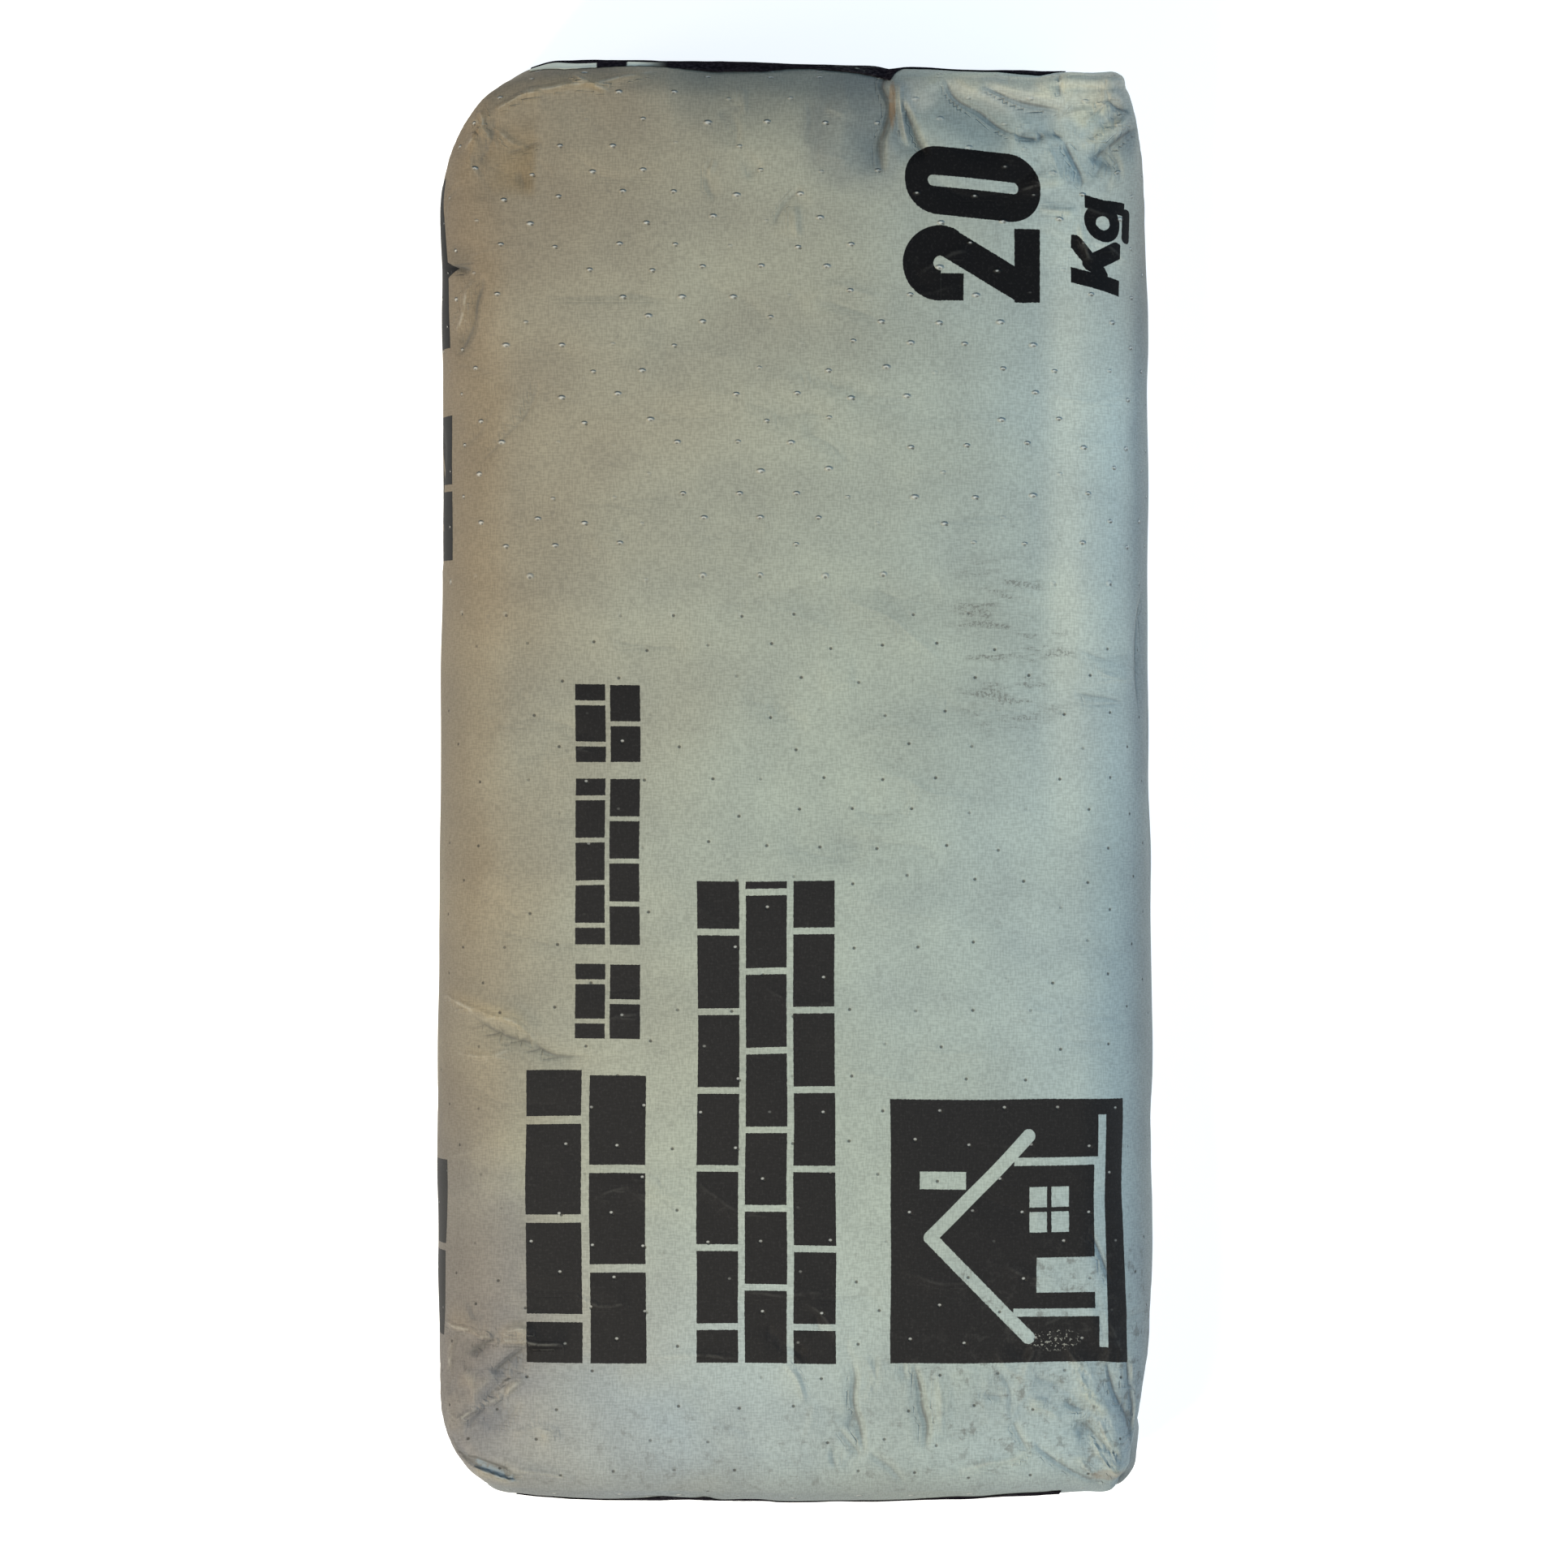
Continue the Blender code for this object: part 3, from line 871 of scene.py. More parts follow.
def box(s, t, s_range, t_range, corner=0.0):
    """Distance outside a box of the print, in millimetres; negative inside it."""
    half_s, half_t = (s_range[1] - s_range[0]) / 2, (t_range[1] - t_range[0]) / 2
    out_s = abs(s - (s_range[0] + half_s)) - (half_s - corner)
    out_t = abs(t - (t_range[0] + half_t)) - (half_t - corner)
    flat = out_s.most(out_t)
    if not corner:
        return flat
    over_s, over_t = out_s.most(0.0), out_t.most(0.0)
    over = (over_s * over_s + over_t * over_t).maths("SQRT")
    return over + flat.least(0.0) - corner


def stroke(s, t, start, end, half):
    """Distance outside a straight stroke with round ends."""
    run = (end[0] - start[0], end[1] - start[1])
    length = run[0] ** 2 + run[1] ** 2
    off_s, off_t = s - start[0], t - start[1]
    share = ((off_s * run[0] + off_t * run[1]) / length).most(0.0).least(1.0)
    gap_s, gap_t = off_s - share * run[0], off_t - share * run[1]
    return (gap_s * gap_s + gap_t * gap_t).maths("SQRT") - half


def ring(s, t, middle, radius, half):
    """Distance outside a round stroke."""
    off_s, off_t = s - middle[0], t - middle[1]
    return abs((off_s * off_s + off_t * off_t).maths("SQRT") - radius) - half


# The print, in millimetres across the face and up it: strips of plain blocks in running
# bond, as (across, up, courses, length of a block, joint), and the panel with the house.
FACE_STRIPS = [
    ((-106.0, -58.5), (-229.5, -114.0), 2, 38.9, 3.2),
    ((-86.5, -61.0), (-101.5, -72.0), 2, 15.6, 1.9),
    ((-86.5, -61.0), (-64.5, 1.0), 2, 16.8, 1.9),
    ((-86.5, -61.0), (7.6, 38.0), 2, 16.0, 1.9),
    ((-38.5, 16.0), (-229.5, -39.5), 3, 31.2, 2.6),
]
FLANK_STRIPS = [
    ((-206.0, -148.5), (88.0, 148.0), 2, 30.0, 2.8),
    ((-206.0, -148.5), (-220.0, -150.0), 2, 36.0, 2.8),
]
FLANK_PANEL = ((-208.0, -148.0), (172.0, 240.0))
PANEL = ((37.6, 133.0), (-229.5, -125.3))
# a dark wedge of the flank's panel is drawn up into the dent of the left edge
WEDGE_TIP = (-137.0, 203.0)
WEDGE_SLOPE = 0.3
WEDGE_FOOT = -150.0
PRINT_EDGE = (-0.12, 0.16)


def bricks(paint, place, s, t, s_range, t_range, courses, length, joint):
    """0 or more outside a strip of blocks, negative inside a block."""
    course = (s_range[1] - s_range[0] + joint) / courses
    start = (joint / 2 - t_range[0], joint / 2 - s_range[0], 0.0)
    bond = paint.node(
        "ShaderNodeTexBrick",
        {"offset": 0.5, "squash": 1.0},
        Vector=paint.moved(place, start),
        Scale=1.0,
        Mortar_Size=joint / 2,
        Mortar_Smooth=0.0,
        Brick_Width=length,
        Row_Height=course,
    )
    return (bond.output("Fac") - 0.5).most(box(s, t, s_range, t_range))


def digits(s, t):
    """Distance outside the plain numerals of the weight and its unit."""
    sunk = t + (s - 70.2) * 0.09
    nought = box(s, sunk, (43.4, 97.0), (222.0, 248.8), 12.9)
    counter = box(s, sunk, (52.4, 88.2), (233.1, 237.5), 2.1)
    nought = nought.most(counter * -1)
    bowl = ring(s, t, (57.6, 204.0), 9.0, 6.0).most(s - 57.6)
    shoulder = stroke(s, t, (57.6, 213.0), (60.0, 212.4), 6.0)
    back = stroke(s, t, (60.4, 212.0), (90.0, 194.2), 5.8)
    tip = box(s, t, (57.5, 66.5), (189.1, 199.9))
    foot = box(s, t, (86.4, 96.5), (188.6, 218.0))
    two = bowl.least(shoulder).least(back).least(tip).least(foot)
    s = s - 1.2
    lean = t - 2.8 + (s - 118.5) * 0.25
    stem = box(s, lean, (107.6, 129.0), (191.4, 197.6))
    arm = stroke(s, lean, (109.4, 208.0), (120.0, 197.6), 3.1)
    leg = stroke(s, lean, (115.4, 201.0), (127.0, 208.8), 3.3)
    letter = stem.least(arm.most(107.6 - s)).least(leg.most(s - 129.0))
    loop = ring(s, lean, (120.6, 218.6), 5.3, 2.4)
    tail = box(s, lean, (113.2, 130.6), (223.2, 228.4))
    hook = box(s, lean, (129.6, 134.2), (213.0, 226.4), 2.0)
    unit = letter.least(loop).least(tail).least(hook)
    return nought.least(two).least(unit)


def house(s, t):
    """Distance outside a plain house that is left bare in the black panel."""
    up, along = PANEL[0][1] - s, t - PANEL[1][0]
    eaves, ridge, ground = 47.0, 80.0, 13.0
    roof = stroke(up, along, (eaves - 6, 10.0), (ridge, 50.0), 2.6)
    roof = roof.least(stroke(up, along, (eaves - 6, 90.0), (ridge, 50.0), 2.6))
    walls = abs(box(up, along, (ground, eaves + 3), (20.0, 80.0))) - 1.6
    chimney = box(up, along, (66.0, 84.0), (69.0, 76.0))
    door = box(up, along, (ground, 38.0), (28.0, 42.0))
    window = box(up, along, (25.0, 41.0), (52.0, 70.0))
    bars = (abs(up - 33.0) - 0.9).least(abs(along - 61.0) - 0.9)
    lawn = box(up, along, (9.4, ground), (6.0, 98.0))
    figure = walls.most(up - eaves).least(roof).least(chimney).least(door).least(lawn)
    return figure.least(window.most(bars * -1))


def print_mask(paint, s, t):
    """1 where the paper is printed black."""
    place = paint.node("ShaderNodeCombineXYZ", {}, t, s)
    outside = digits(s, t)
    for strip in FACE_STRIPS + FLANK_STRIPS:
        outside = outside.least(bricks(paint, place, s, t, *strip))
    outside = outside.least(box(s, t, *FLANK_PANEL))
    wedge = abs(t - WEDGE_TIP[1]) + (s - WEDGE_TIP[0]) * WEDGE_SLOPE
    outside = outside.least(wedge.most(WEDGE_FOOT - s))
    outside = outside.least(box(s, t, *PANEL).most(house(s, t) * -1))
    return 1 - outside.smooth(*PRINT_EDGE)


# Needle holes stand in rows, every other row half a pitch along. Towards the valve end they
# were pushed out and stand up as little burrs; below, they are wider apart and only pricked.
# Lengths are in millimetres, across the sack and up it where there are two.
HOLE_PITCH = 23.1
ROW_PITCH = 9.9
ROWS_FROM = 2.0
BURRS_DOWN_TO = 92.0
BURRS_FADE = (52.0, 102.0)
# how much wider apart the lower rows are, and a mean of that and the upper rows
LOWER_STRETCH = 1.32
MEAN_STRETCH = 1.15
# each hole is off its place by chance, and its lip lies beside it
HOLE_DRIFT = (5.0, 3.4)
LIP_DRIFT = 1.2
LIP_STEP = (0.2, 0.55)
# both are narrower up the sack than across it
HOLE_SQUEEZE, LIP_SQUEEZE = 1.6, 2.2


def holes(paint, s, t):
    """(distances in millimetres to the nearest needle hole and its lip, a chance for each)."""
    lower = (BURRS_DOWN_TO - t).most(0.0)
    row = (t + lower * (1 - 1 / LOWER_STRETCH) + ROWS_FROM) / ROW_PITCH
    row_number = row.maths("FLOOR")
    column = s / HOLE_PITCH + (row_number * 0.5).maths("FRACT")
    cell = paint.node("ShaderNodeCombineXYZ", {}, column.maths("FLOOR"), row_number)
    chances = paint.node("ShaderNodeTexWhiteNoise", {"noise_dimensions": "2D"}, cell)
    drift_s, drift_t, chance = paint.split(chances.output("Color"))
    off_s = (column.maths("FRACT") - 0.5) * HOLE_PITCH + (drift_s - 0.5) * HOLE_DRIFT[0]
    off_t = (row.maths("FRACT") - 0.5) * (ROW_PITCH * MEAN_STRETCH)
    off_t = off_t + (drift_t - 0.5) * HOLE_DRIFT[1]
    lift_s, lift_t = off_s + drift_t * LIP_DRIFT - LIP_STEP[0], off_t - LIP_STEP[1]
    needle = (off_s * off_s + off_t * off_t * HOLE_SQUEEZE).maths("SQRT")
    lip = (lift_s * lift_s + lift_t * lift_t * LIP_SQUEEZE).maths("SQRT")
    return needle, lip, chance


def blot(s, t, middle, half, ragged):
    """1 in the middle of a stain and 0 outside its ragged edge."""
    off_s, off_t = (s - middle[0]) / half[0], (t - middle[1]) / half[1]
    return 1 - (off_s * off_s + off_t * off_t + ragged).smooth(0.35, 1.25)


# From left to right the paper runs from warm to cool: partly its own tone, partly painted warm
# light on the left and painted cool light on the right.
PAPER_WARM = (0.268, 0.228, 0.166)
PAPER_MIDDLE = (0.352, 0.386, 0.335)
PAPER_COOL = (0.362, 0.430, 0.432)
# Paler paper: bare where it is scuffed or worn, and painted light on the valve corner.
PAPER_BARE_AND_LIT = (0.50, 0.49, 0.43)
INK = (0.0030, 0.0027, 0.0033)
INK_RUBBED = (0.0310, 0.0290, 0.0290)
# Brown of the stains, and of painted warm light down the left edge.
BROWN_STAIN_AND_WARM_LIGHT = (0.235, 0.170, 0.095)
DIRT = (0.12, 0.115, 0.105)
RUST = (0.27, 0.17, 0.09)
# Colour of the painted shade on the rims.
RIM_SHADE = (0.10, 0.10, 0.095)
PEELED = (0.30, 0.38, 0.44)
BURR_PALE = (0.66, 0.66, 0.62)
HOLE_DARK = (0.05, 0.047, 0.042)


class PaperPlace:
    """Where a point lies on the sack, in millimetres, how creased it is, and how uneven."""

    def __init__(self, paint):
        self.sheet = paint.node("ShaderNodeUVMap", {"uv_map": "sheet"})
        self.x, self.y, self.z = [part / MM for part in paint.split(paint.on_object())]
        flat_x, flat_y, _ = paint.split(self.sheet)
        self.across, self.up = (flat_x - SHEET_MIDDLE[0]) / MM, (flat_y - SHEET_MIDDLE[1]) / MM
        from_line, ridge = abs(paint.kept("crease")), paint.kept("ridge")
        on_line = (1 - from_line.smooth(0.1, 0.95)) * ridge
        self.worn, self.hollow = on_line.most(0.0), (on_line * -1).most(0.0)
        self.bend = (1.8 - from_line).most(0.0) * ridge
        self.raised = paint.kept("raised")
        self.cloud = paint.noise(self.sheet, 9.0, 2.0) - 0.5
        self.patch = paint.noise(self.sheet, 34.0, 2.0, 0.6)
        self.uneven = self.patch - 0.5
        self.ragged = self.uneven * 1.5
        self.shake = self.cloud * 2.4
        self.grime = paint.noise(self.sheet, 160.0, 3.0, 0.75)
        self.speck = paint.noise(self.sheet, 900.0, 1.0, 0.65)


def kraft_tone_and_painted_light(paint, at):
    """The kraft's slow changes of tone, brownish on the left and bluish on the right: partly its
    own tone, partly painted light and shade.
    """
    # Partly painted warm light on the left and painted cool light on the right.
    lean = at.across + at.cloud * 90
    colour = paint.mix(lean.smooth(-165.0, 15.0), PAPER_WARM, PAPER_MIDDLE)
    colour = paint.mix(lean.smooth(10.0, 165.0), colour, PAPER_COOL)
    # Painted shade: darker and warmer towards the upper left.
    upper_left_shade = at.y.smooth(-40.0, 230.0) * (1 - lean.smooth(-20.0, 115.0))
    # Painted cool light: bluer towards the closed end, less so on the right.
    low = (at.y * -1).smooth(140.0, 250.0) * (1 - at.across.smooth(-30.0, 80.0) * 0.85)
    # Painted highlight: a pale band down the right rounding.
    painted_highlight_band = at.across.smooth(93.0, 107.0) * (1 - at.across.smooth(136.0, 148.0))
    painted_highlight_band = painted_highlight_band * at.y.smooth(-60.0, 60.0) * (1 - at.y.smooth(170.0, 250.0) * 0.75)
    # Painted shade: darker and a little bluish at the lower left.
    low_left = blot(at.across, at.y, (-152.0, -205.0), (58.0, 88.0), at.uneven * 0.8)
    # Painted cool light: lighter and bluer at the closed end's left.
    foot_left = blot(at.across, at.y, (-92.0, -262.0), (58.0, 38.0), at.uneven * 0.6)
    return paint.layered(
        colour,
        (upper_left_shade, (0.97, 0.86, 0.79)),
        (low, (0.97, 1.01, 1.16)),
        (painted_highlight_band, (1.30, 1.22, 1.14)),
        (low_left, (0.81, 0.81, 0.89)),
        (foot_left, (1.06, 1.12, 1.19)),
        blend="MULTIPLY",
    )


def weathered(paint, at, colour):
    """Brown smears; painted light on the valve corner and raised folds; painted shade in sunk
    folds, beside the tuck, in soft bands and on the rims.
    """
    across, up, y, ragged = at.across, at.up, at.y, at.ragged
    smear = (-101.5 - across + ragged * 2).smooth(-1.0, 3.0)
    smear = smear * (across + ragged * 6).smooth(-134.0, -104.0)
    smear = smear * (up - ragged * 5).smooth(229.0, 237.0)
    smear = smear * (1 - (up + ragged * 8).smooth(242.0, 272.0)) * 0.72
    # The smear is a brown stain; the long blot down the left edge is partly brown stain and partly
    # painted warm light.
    brown = smear.most(blot(across, up, (-150.0, 130.0), (34.0, 260.0), ragged) * 0.23)
    # Painted light: paler, beige paper on the raised valve corner and on a facet right of the tuck.
    valve_corner_light = blot(across, up, (100.0, 279.0), (50.0, 17.0), at.uneven * 0.7) * 0.5
    valve_corner_light = valve_corner_light.most(blot(across, up, (49.0, 273.0), (9.0, 9.0), at.uneven * 0.7) * 0.4)
    colour = paint.layered(colour, (brown, BROWN_STAIN_AND_WARM_LIGHT), (valve_corner_light, PAPER_BARE_AND_LIT))
    # Painted light and shade of the folds: raised folds lighter and beige, sunk folds darker and
    # bluish; painted shade, darker and bluish, on the slope beside the tuck; and soft bands of
    # painted shade across the face.
    raised = at.raised.smooth(0.52, 0.86) * (0.35 + at.patch.smooth(0.35, 0.62) * 0.4)
    sunk = 1 - at.raised.smooth(0.08, 0.48)
    beside_tuck = blot(across, up, (24.0, 262.0), (22.0, 34.0), at.uneven * 0.7)
    band = paint.noise(paint.stretched(at.sheet, (5.0, 26.0, 1.0)), 1.0, 1.0)
    band = (at.patch * 0.5 + band * 0.5).smooth(0.3, 0.7)
    colour = paint.layered(
        colour,
        (raised, (1.22, 1.14, 0.98)),
        (sunk, (0.75, 0.785, 0.83)),
        (beside_tuck, (0.76, 0.775, 0.83)),
        (1.0, paint.mix(band, (0.91, 0.91, 0.925), (1.06, 1.06, 1.05))),
        blend="MULTIPLY",
    )
    # Painted shade: darker at the valve end's rim left of the tuck, at the closed end's rim, at the
    # left edge and on the flanks.
    rim = y.smooth(240.0, 290.0) * (0.28 - across.smooth(20.0, 60.0) * 0.28)
    rim = rim.most((y * -1).smooth(262.0, 290.0) * 0.50)
    rim = rim.most((at.x * -1).smooth(112.0, 146.0) * 0.44)
    shaded = (1 - at.z.smooth(84.0, 101.0)) * at.z.smooth(34.0, 60.0)
    rim = rim.most(shaded * (0.25 + (y * -1).smooth(250.0, 280.0) * 0.35))
    # Painted shade: darker and warmer along the right edge, more so in its upper part.
    right = at.x.smooth(124.0, 142.0)
    top_right = at.x.smooth(108.0, 138.0) * y.smooth(150.0, 220.0)
    return paint.layered(
        paint.mix(rim, colour, RIM_SHADE),
        (right, (0.89, 0.80, 0.76)),
        (top_right, (0.92, 0.83, 0.76)),
        blend="MULTIPLY",
    )


def printed(paint, at, colour):
    """(the colour with black ink on it, 1 where the ink is): frayed, speckled and rubbed."""
    fray = paint.noise(paint.stretched(at.sheet, (1.0, 0.5, 1.0)), 1300.0, 0.0) * 0.22
    ink = print_mask(paint, at.across + fray + at.shake, at.up + fray - at.shake)
    rubbed = at.speck.smooth(0.56, 0.74) * 0.22 + at.worn * 0.5
    rubbed = rubbed + (1 - at.up.smooth(-60.0, 160.0)) * 0.5
    return paint.mix(ink, colour, paint.mix(rubbed, INK, INK_RUBBED)), ink


def fibrous(paint, at, colour):
    """Fibres along and across the sheet."""
    fibres = at.speck * 0.6
    for scales in ((1700.0, 320.0, 1.0), (320.0, 1700.0, 1.0)):
        fibres = fibres + paint.noise(paint.stretched(at.sheet, scales), 1.0, 0.0) * 0.7
    tone = paint.mix(fibres.smooth(0.65, 1.35), (0.87, 0.87, 0.87), (1.10, 1.10, 1.10))
    return paint.mix(1.0, colour, tone, "MULTIPLY")


def soiled(paint, at, colour, ink):
    """Smudges on the right, grime at the foot, dark hollow lines of dirt and painted shadow, rust,
    rubbed paper, and a painted shadow along a peeled flap.
    """
    across, up, ragged, grime, speck = at.across, at.up, at.ragged, at.grime, at.speck
    smudges = paint.noise(paint.stretched(at.sheet, (34.0, 150.0, 1.0)), 1.0, 3.0, 0.72)
    smudged = blot(across, up, (85.0, 52.0), (28.0, 38.0), ragged)
    grimy = blot(across, up, (108.0, -228.0), (64.0, 56.0), ragged)
    grimy = grimy.most(blot(across, up, (20.0, -268.0), (150.0, 26.0), ragged) * 0.6)
    dirt_and_hollow_shade = smudges.smooth(0.50, 0.66) * smudged * (0.10 + speck.smooth(0.44, 0.60) * 0.55)
    dirt_and_hollow_shade = dirt_and_hollow_shade.most(grime.smooth(0.53, 0.72) * grimy * 0.55)
    dirt_and_hollow_shade = dirt_and_hollow_shade.most(grime.smooth(0.62, 0.80) * 0.22)
    # The dark line in each crease's hollow is partly dirt and partly painted shadow.
    dirt_and_hollow_shade = dirt_and_hollow_shade.most(at.hollow * grime.smooth(0.25, 0.5) * 0.6)
    rust = blot(across + at.shake, up, (38.6, 268.0), (1.4, 11.0), ragged * 0.6) * grime
    rust = rust.most(blot(across, up, (125.0, -276.0), (9.0, 3.0), ragged) * grime * 0.6)
    flap = 1 - stroke(across, up, (-126.0, -270.2), (-112.0, -277.6), 1.2).smooth(-0.6, 1.6)
    # Painted shadow: a thin dark line along the upper edge of the peeled flap.
    flap_shadow_line = 1 - stroke(across, up, (-129.5, -267.4), (-114.0, -272.6), 0.2).smooth(-0.2, 0.7)
    scuffs = blot(across, up, (102.0, -221.0), (11.0, 4.0), ragged) * speck.smooth(0.60, 0.68)
    return paint.layered(
        colour,
        (dirt_and_hollow_shade * (1 - ink * 0.8), DIRT),
        (rust, RUST),
        (flap * grime.smooth(0.42, 0.58) * 0.5, PEELED),
        (flap_shadow_line * 0.8, DIRT),
        (scuffs * 0.45, PAPER_BARE_AND_LIT),
        (at.worn * (1 - ink * 0.5) * grime.smooth(0.36, 0.6) * 0.3, PAPER_BARE_AND_LIT),
    )


def punched(paint, at, colour, ink):
    """(colour, relief in millimetres) with holes, burrs and each crease's sharp bend; the colour
    has a painted highlight on each burr's lip and painted shade in each hole.
    """
    hole, lip, chance = holes(paint, at.across, at.up)
    pressed = blot(at.across, at.up, (88.0, 264.0), (66.0, 34.0), at.uneven * 0.6)
    kept = chance.smooth(0.12, 0.55) * (1 - pressed * 0.6)
    burred = at.up.smooth(*BURRS_FADE)
    prick = (1 - hole.smooth(0.3, 0.85)) * kept
    burr = (1 - (lip * (1.35 - chance * 0.6)).smooth(0.5, 1.6)) * kept
    fleck = (1 - lip.smooth(0.3, 0.85)) * kept
    # Painted highlight: a pale spot on each burr's lip, on ink partly bare paper; painted shade: a
    # dark spot in each hole.
    pale_spot = (burr * burred * 0.6 * (1 - ink * 0.9)).most(fleck * ink * 0.55)
    dark_spot = prick * (0.8 - burred * 0.2) * (1 - ink * 0.6)
    colour = paint.layered(colour, (pale_spot, BURR_PALE), (dark_spot, HOLE_DARK))
    return colour, burr * (burred * 1.1 - 0.1) - prick * 0.3 + at.bend * 0.42


def paper_paint():
    paint = Paint("kraft_paper_printed", specular=0.15)
    at = PaperPlace(paint)
    colour = weathered(paint, at, kraft_tone_and_painted_light(paint, at))
    colour, ink = printed(paint, at, colour)
    colour = soiled(paint, at, fibrous(paint, at, colour), ink)
    colour, relief = punched(paint, at, colour, ink)
    return paint.finish(
        Base_Color=colour,
        Roughness=0.84 - ink * 0.16 + at.speck * 0.06,
        Normal=paint.bump(relief),
    )


sack.data.materials.append(paper_paint())
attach(sack, "root")
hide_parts("paper_sack")


# A cover sheet of dark printed kraft is pasted over each square end. Its upper edge laps a
# few millimetres onto the face, with a notch at the valve's tuck, and ends in torn corners.
COVER_THICKNESS = 0.00025
COVER_GAP = 0.0003
COVER_LIFT, COVER_LIFT_LENGTH = 0.00015, 0.02
COVER_FOOT = 0.0025
# how rough the torn edge is, in millimetres, and how many times over it shows at each end
COVER_TEAR = 0.07
COVER_TEAR_SHOWS = {1: 1, -1: 3}
COVER_CELLS = (150, 44)
COVER_SEEDS = {1: 8, -1: 6}
# from where to where on the cube the sheet runs across each end
COVER_REACH = {1: (-0.62, 0.615), -1: (-0.62, 0.62)}
COVER_EDGES = {
    # places across the sack, and how far the sheet shows inside the outline there at the
    # valve end, or how high it reaches at the closed end
    1: [
        (-110, 2.4), (-97, 5.4), (-91, 6.4), (-81, 6.2), (-68, 5.0), (-58, 4.2), (-48, 4.8),
        (-32, 6.2), (-13, 5.6), (-2, 3.6), (4, 3.2), (20, 4.4), (32, 6.4), (38, 8.2), (41, 3.6),
        (44, 1.6), (59, 1.2), (78, 2.0), (93, 3.2), (101, 3.4), (112, 1), (116, 0),
    ],
    -1: [
        (-116, 82), (-88, 86), (-58, 86.5), (-44, 92), (-36, 97), (-29, 92), (-14, 85.5),
        (20, 84), (46, 88), (62, 94), (76, 93), (90, 96), (104, 96.5), (111, 95), (117, 88),
    ],
}
# a path over an end starts and stops at this share of the cube's half length
PATH_FROM = 0.80
PATH_SAMPLES = 90


def end_paths(end, columns):
    """Lines on the smooth paper that run over one end, from the face to the underside."""
    tail = np.linspace(PATH_FROM, 1.0, PATH_SAMPLES)
    drop = np.linspace(1.0, -1.0, PATH_SAMPLES)[1:-1]
    v = np.concatenate([tail, np.ones_like(drop), tail[::-1]]) * end
    w = np.concatenate([np.ones_like(tail), drop, -np.ones_like(tail)])
    u, v = np.meshgrid(columns, v, indexing="ij")
    w = np.broadcast_to(w, u.shape)
    return sack_points(np.stack((u, v, w), axis=-1))


def cover_grid(end, random):
    """Rows of points on the smooth paper between a cover sheet's upper and lower edge."""
    paths = end_paths(end, np.linspace(*COVER_REACH[end], COVER_CELLS[0] + 1))
    travel = travelled(np.moveaxis(paths, 1, 0), 0).T
    place_x, reach = np.array(COVER_EDGES[end]).T * MM
    share = np.linspace(0, 1, COVER_CELLS[1] + 1)
    rows = []
    for path, run in zip(paths, travel):
        tear = COVER_TEAR_SHOWS[end] * random.normal(0, COVER_TEAR) * MM
        wanted = np.interp(path[0, 0], place_x, reach)
        if end > 0:
            out = path[:, 1]
            last = int(np.argmax(out))
            edge = min(out[last] - wanted + tear, out[last])
            upper = np.interp(edge, out[: last + 1], run[: last + 1])
        else:
            upper = np.interp(tear - wanted, -path[:, 2], run)
        lower = np.interp(COVER_FOOT, path[::-1, 2], run[::-1])
        place = upper + (lower - upper) * share
        rows.append(np.stack([np.interp(place, run, line) for line in path.T], axis=-1))
    return np.array(rows)


def make_cover(name, end):
    random = np.random.default_rng(COVER_SEEDS[end])
    grid = cover_grid(end, random)
    points = grid.reshape(-1, 3)
    index = np.arange(len(points)).reshape(grid.shape[:2])
    cover = mesh_object(name, points, grid_faces(index.T, -end))
    normals = point_normals(cover)
    moved, found = creased(points, normals)
    lift = COVER_GAP + COVER_LIFT * waves(points, COVER_LIFT_LENGTH, random)
    move_points(cover, moved + normals * lift[:, None])
    for value in ("crease", "ridge"):
        keep_values(cover, value, found[value])
    sheet = cover.modifiers.new("sheet", "SOLIDIFY")
    sheet.thickness = COVER_THICKNESS
    sheet.offset = 1.0
    return cover


COVER_BLACK = (0.007, 0.006, 0.0085)
COVER_GREY = (0.022, 0.018, 0.024)
COVER_BARE = (0.60, 0.62, 0.54)
COVER_DUST = (0.30, 0.29, 0.27)


def cover_paint():
    paint = Paint("black_printed_cover", roughness=0.9, specular=0.0)
    spot = paint.on_object()
    x, y, z = [part / MM for part in paint.split(spot)]
    worn = (1 - abs(paint.kept("crease")).smooth(0.1, 0.9)) * paint.kept("ridge").most(0.0)
    mottle = paint.noise(spot, 60.0, 3.0, dimensions="3D")
    grain = paint.noise(spot, 700.0, 2.0, dimensions="3D")
    # pale bars of bare paper at the valve end's left, as wide as the photographed ones
    shaken = x + (mottle - 0.5) * 3
    rim = z.smooth(92.0, 93.0)
    bars = (1 - box(shaken, y, (-112.0, -79.0), (200.0, 400.0)).smooth(-0.3, 0.3)) * rim
    thin = shaken.smooth(-67.0, -66.0) * (1 - shaken.smooth(-64.0, -50.0))
    thin = thin * y.smooth(0.0, 1.0) * rim
    rubbed = (mottle - 0.5 + worn * 0.5).smooth(0.22, 0.3) * 0.6
    dusty = (mottle * 0.6 + grain * 0.4).smooth(0.5, 0.8) * (0.34 - rim * 0.24)
    colour = paint.layered(
        paint.mix(grain.smooth(0.35, 0.75), COVER_BLACK, COVER_GREY),
        (bars.most(thin).most(rubbed), COVER_BARE),
        (dusty, COVER_DUST),
    )
    return paint.finish(Base_Color=colour, Normal=paint.bump(grain * 0.08))


black_print = cover_paint()
for name, end in (("valve_end_cover", 1), ("closed_end_cover", -1)):
    cover = make_cover(name, end)
    cover.data.materials.append(black_print)
    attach(cover, "root")
    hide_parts(name + "_sheet")


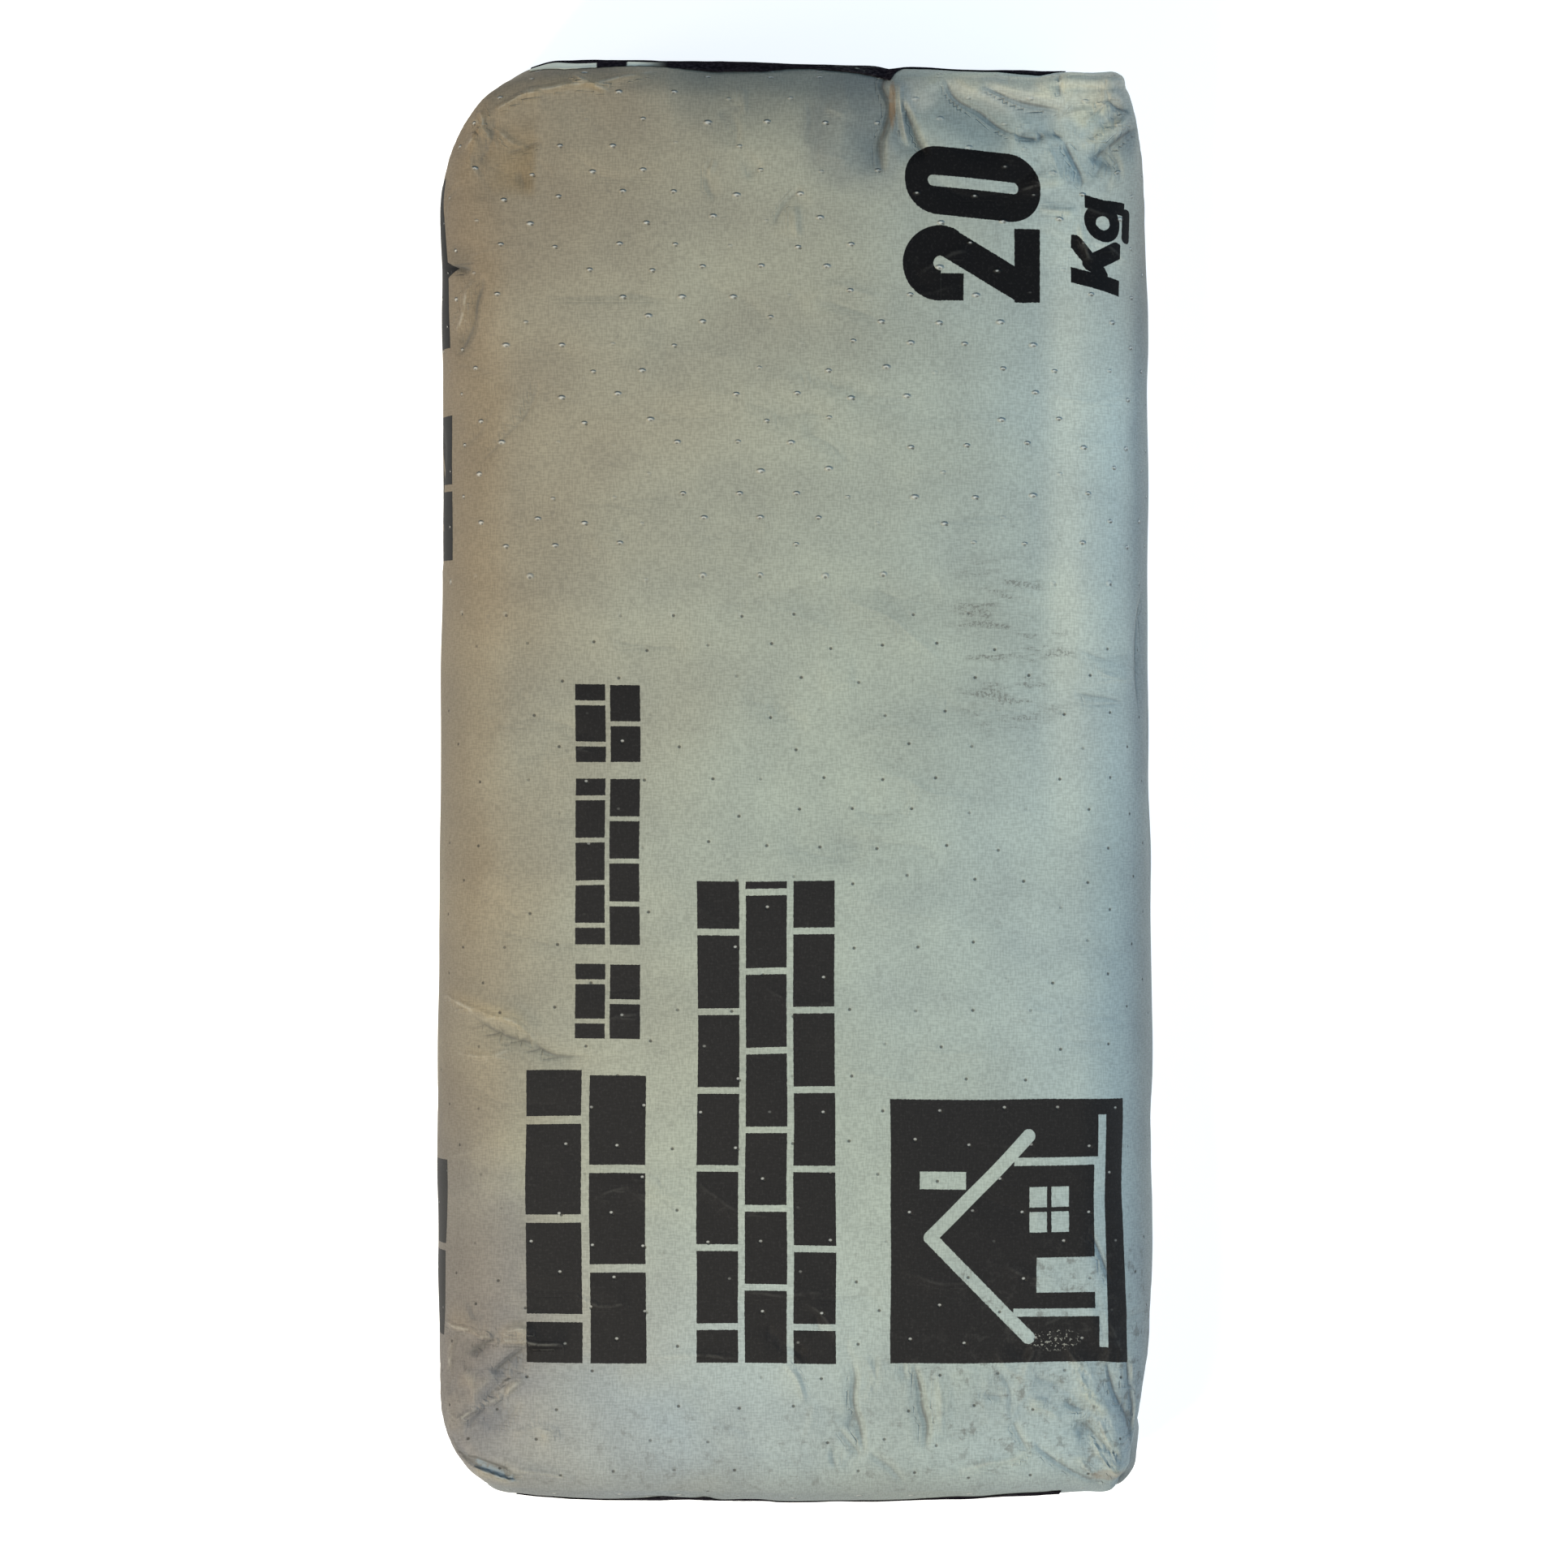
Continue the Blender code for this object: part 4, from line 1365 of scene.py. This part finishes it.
# The valve sleeve is a flat tube of plain brown kraft, pasted under the valve end's cover.
# The powder was blown in through its mouth at the corner, and its weight pressed it shut.
SLEEVE_CELLS = (60, 26)
SLEEVE_PLY = 0.0002
# How far its folded edges stay in, how high they ruffle, how deep the mouth is dented and
# how high its waves are, in millimetres, and the waves' length in metres.
SLEEVE_SLACK = 0.4
SLEEVE_RUFFLE = 0.35
MOUTH_DENTS = 1.2
SLEEVE_WAVE, SLEEVE_WAVE_LENGTH = 0.12, 0.03
# Powers that draw its round section out: its height towards flat, its edges towards sharp.
SLEEVE_FLATNESS = 0.75
SLEEVE_FOLDED = 0.5
SLEEVE_SEED = 11


def squared(turn, power):
    """A sine or cosine drawn out towards a square wave."""
    return np.sign(turn) * abs(turn) ** power


def make_sleeve():
    low, high = map(np.array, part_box("valve_sleeve"))
    middle, half = (low + high) / 2, (high - low) / 2 - SLEEVE_PLY
    along = np.linspace(0, 1, SLEEVE_CELLS[0] + 1)
    around = np.linspace(0, 2 * math.pi, SLEEVE_CELLS[1], endpoint=False)
    a, turn = np.meshgrid(along, around, indexing="ij")
    flat = squared(np.cos(turn), SLEEVE_FLATNESS)
    deep = squared(np.sin(turn), SLEEVE_FOLDED) * (half[1] - SLEEVE_SLACK * MM)
    ruffle = SLEEVE_RUFFLE * MM * np.sin(flat * 5 + a * 3) * a
    dents = MOUTH_DENTS * MM * abs(np.sin(turn * 1.5)) * (a > 0.99)
    x = low[0] + (high[0] - low[0]) * a - dents
    place = (x, middle[1] + deep + ruffle, middle[2] + half[2] * flat)
    points = np.stack(place, axis=-1).reshape(-1, 3)
    random = np.random.default_rng(SLEEVE_SEED)
    points[:, 1] += SLEEVE_WAVE * MM * waves(points, SLEEVE_WAVE_LENGTH, random)
    index = np.arange(len(points)).reshape(a.shape)
    wrapped = np.concatenate([index, index[:, :1]], axis=1)
    sleeve = mesh_object("valve_sleeve_paper", points, grid_faces(wrapped.T, 1))
    ply = sleeve.modifiers.new("ply", "SOLIDIFY")
    ply.thickness = SLEEVE_PLY
    ply.offset = 0.0
    return sleeve


SLEEVE_DARK = (0.34, 0.25, 0.155)
SLEEVE_LIGHT = (0.46, 0.36, 0.24)
SLEEVE_DUST = (0.58, 0.56, 0.50)


def sleeve_paint():
    paint = Paint("brown_kraft_sleeve", roughness=0.78)
    place = paint.on_object()
    fibre = paint.stretched(place, (160.0, 900.0, 1400.0))
    fibre = paint.noise(fibre, 1.0, 2.0, dimensions="3D")
    mottle = paint.noise(place, 50.0, 3.0, dimensions="3D")
    colour = paint.mix(fibre.smooth(0.3, 0.7), SLEEVE_DARK, SLEEVE_LIGHT)
    colour = paint.mix(mottle.smooth(0.55, 0.8) * 0.5, colour, SLEEVE_DUST)
    return paint.finish(Base_Color=colour, Normal=paint.bump(fibre * 0.1))


sleeve = make_sleeve()
sleeve.data.materials.append(sleeve_paint())
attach(sleeve, "root")
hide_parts("valve_sleeve")


# The powder is fine dry skim coat, blown in loose and settled until it fills the paper as
# one soft block. None of it shows, and it lies a little inside the creases.
POWDER_DENSITY = 0.2
POWDER_INSET = 0.0065
POWDER_SWELL, POWDER_SWELL_LENGTH = 0.6, 0.085
POWDER_SEED = 3
POWDER_GREY = (0.62, 0.62, 0.60)
POWDER_WHITE = (0.76, 0.76, 0.74)


def powder_paint():
    paint = Paint("skim_coat_powder", roughness=0.95)
    grain = paint.noise(paint.on_object(), 600.0, 3.0, dimensions="3D")
    colour = paint.mix(grain.smooth(0.3, 0.7), POWDER_GREY, POWDER_WHITE)
    return paint.finish(Base_Color=colour, Normal=paint.bump(grain * 0.3))


def make_powder():
    points, faces, _ = paper_grid(POWDER_DENSITY)
    powder = mesh_object("powder_block", points, faces)
    normals = point_normals(powder)
    random = np.random.default_rng(POWDER_SEED)
    swell = POWDER_SWELL * MM * waves(points, POWDER_SWELL_LENGTH, random)
    move_points(powder, points - normals * POWDER_INSET + normals * swell[:, None])
    return powder


powder = make_powder()
powder.data.materials.append(powder_paint())
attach(powder, "root")
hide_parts("powder_fill")


# A plain white studio floor. The main lamp stands high, towards the closed end's left corner;
# a weak warm lamp lights the left flank and a weak cool one the right flank.
FLOOR_HALF = 6.0
FLOOR_HEIGHT = -0.0004
FLOOR_CORNERS = [(-1, -1), (1, -1), (1, 1), (-1, 1)]
FLOOR_WHITE = (0.9, 0.9, 0.9)
FLOOR_GLOW = (1.0, 1.0, 1.0)
WORLD_COLOUR = (0.68, 0.86, 1.0, 1.0)
WORLD_STRENGTH = 0.34


def floor_paint():
    paint = Paint("studio_floor", roughness=0.9)
    return paint.finish(
        Base_Color=FLOOR_WHITE, Emission_Color=FLOOR_GLOW, Emission_Strength=0.7
    )


def make_floor():
    corners = [(x * FLOOR_HALF, y * FLOOR_HALF, FLOOR_HEIGHT) for x, y in FLOOR_CORNERS]
    return mesh_object("studio_floor", np.array(corners), np.array([(0, 1, 2, 3)]))


def lamp(name, place, size, power, colour):
    """A square area light that faces the sack."""
    light = bpy.data.lights.new(name, "AREA")
    light.size = size
    light.energy = power
    light.color = colour
    made = add_object(name, light)
    made.location = place
    made.rotation_euler = (-Vector(place)).to_track_quat("-Z", "Y").to_euler()


floor = make_floor()
floor.data.materials.append(floor_paint())
lamp("high_lamp", (-0.60, -0.62, 1.45), 0.35, 22.5, (1.0, 0.93, 0.78))
lamp("warm_lamp", (-1.25, -0.1, 0.60), 0.35, 2.0, (1.0, 0.75, 0.46))
lamp("cool_lamp", (1.0, 0.4, 0.9), 0.5, 4.5, (0.45, 0.72, 1.0))

world = bpy.data.worlds.new("studio")
world.use_nodes = True
background = world.node_tree.nodes["Background"]
background.inputs["Color"].default_value = WORLD_COLOUR
background.inputs["Strength"].default_value = WORLD_STRENGTH
bpy.context.scene.world = world
bpy.context.scene.view_settings.view_transform = "Standard"
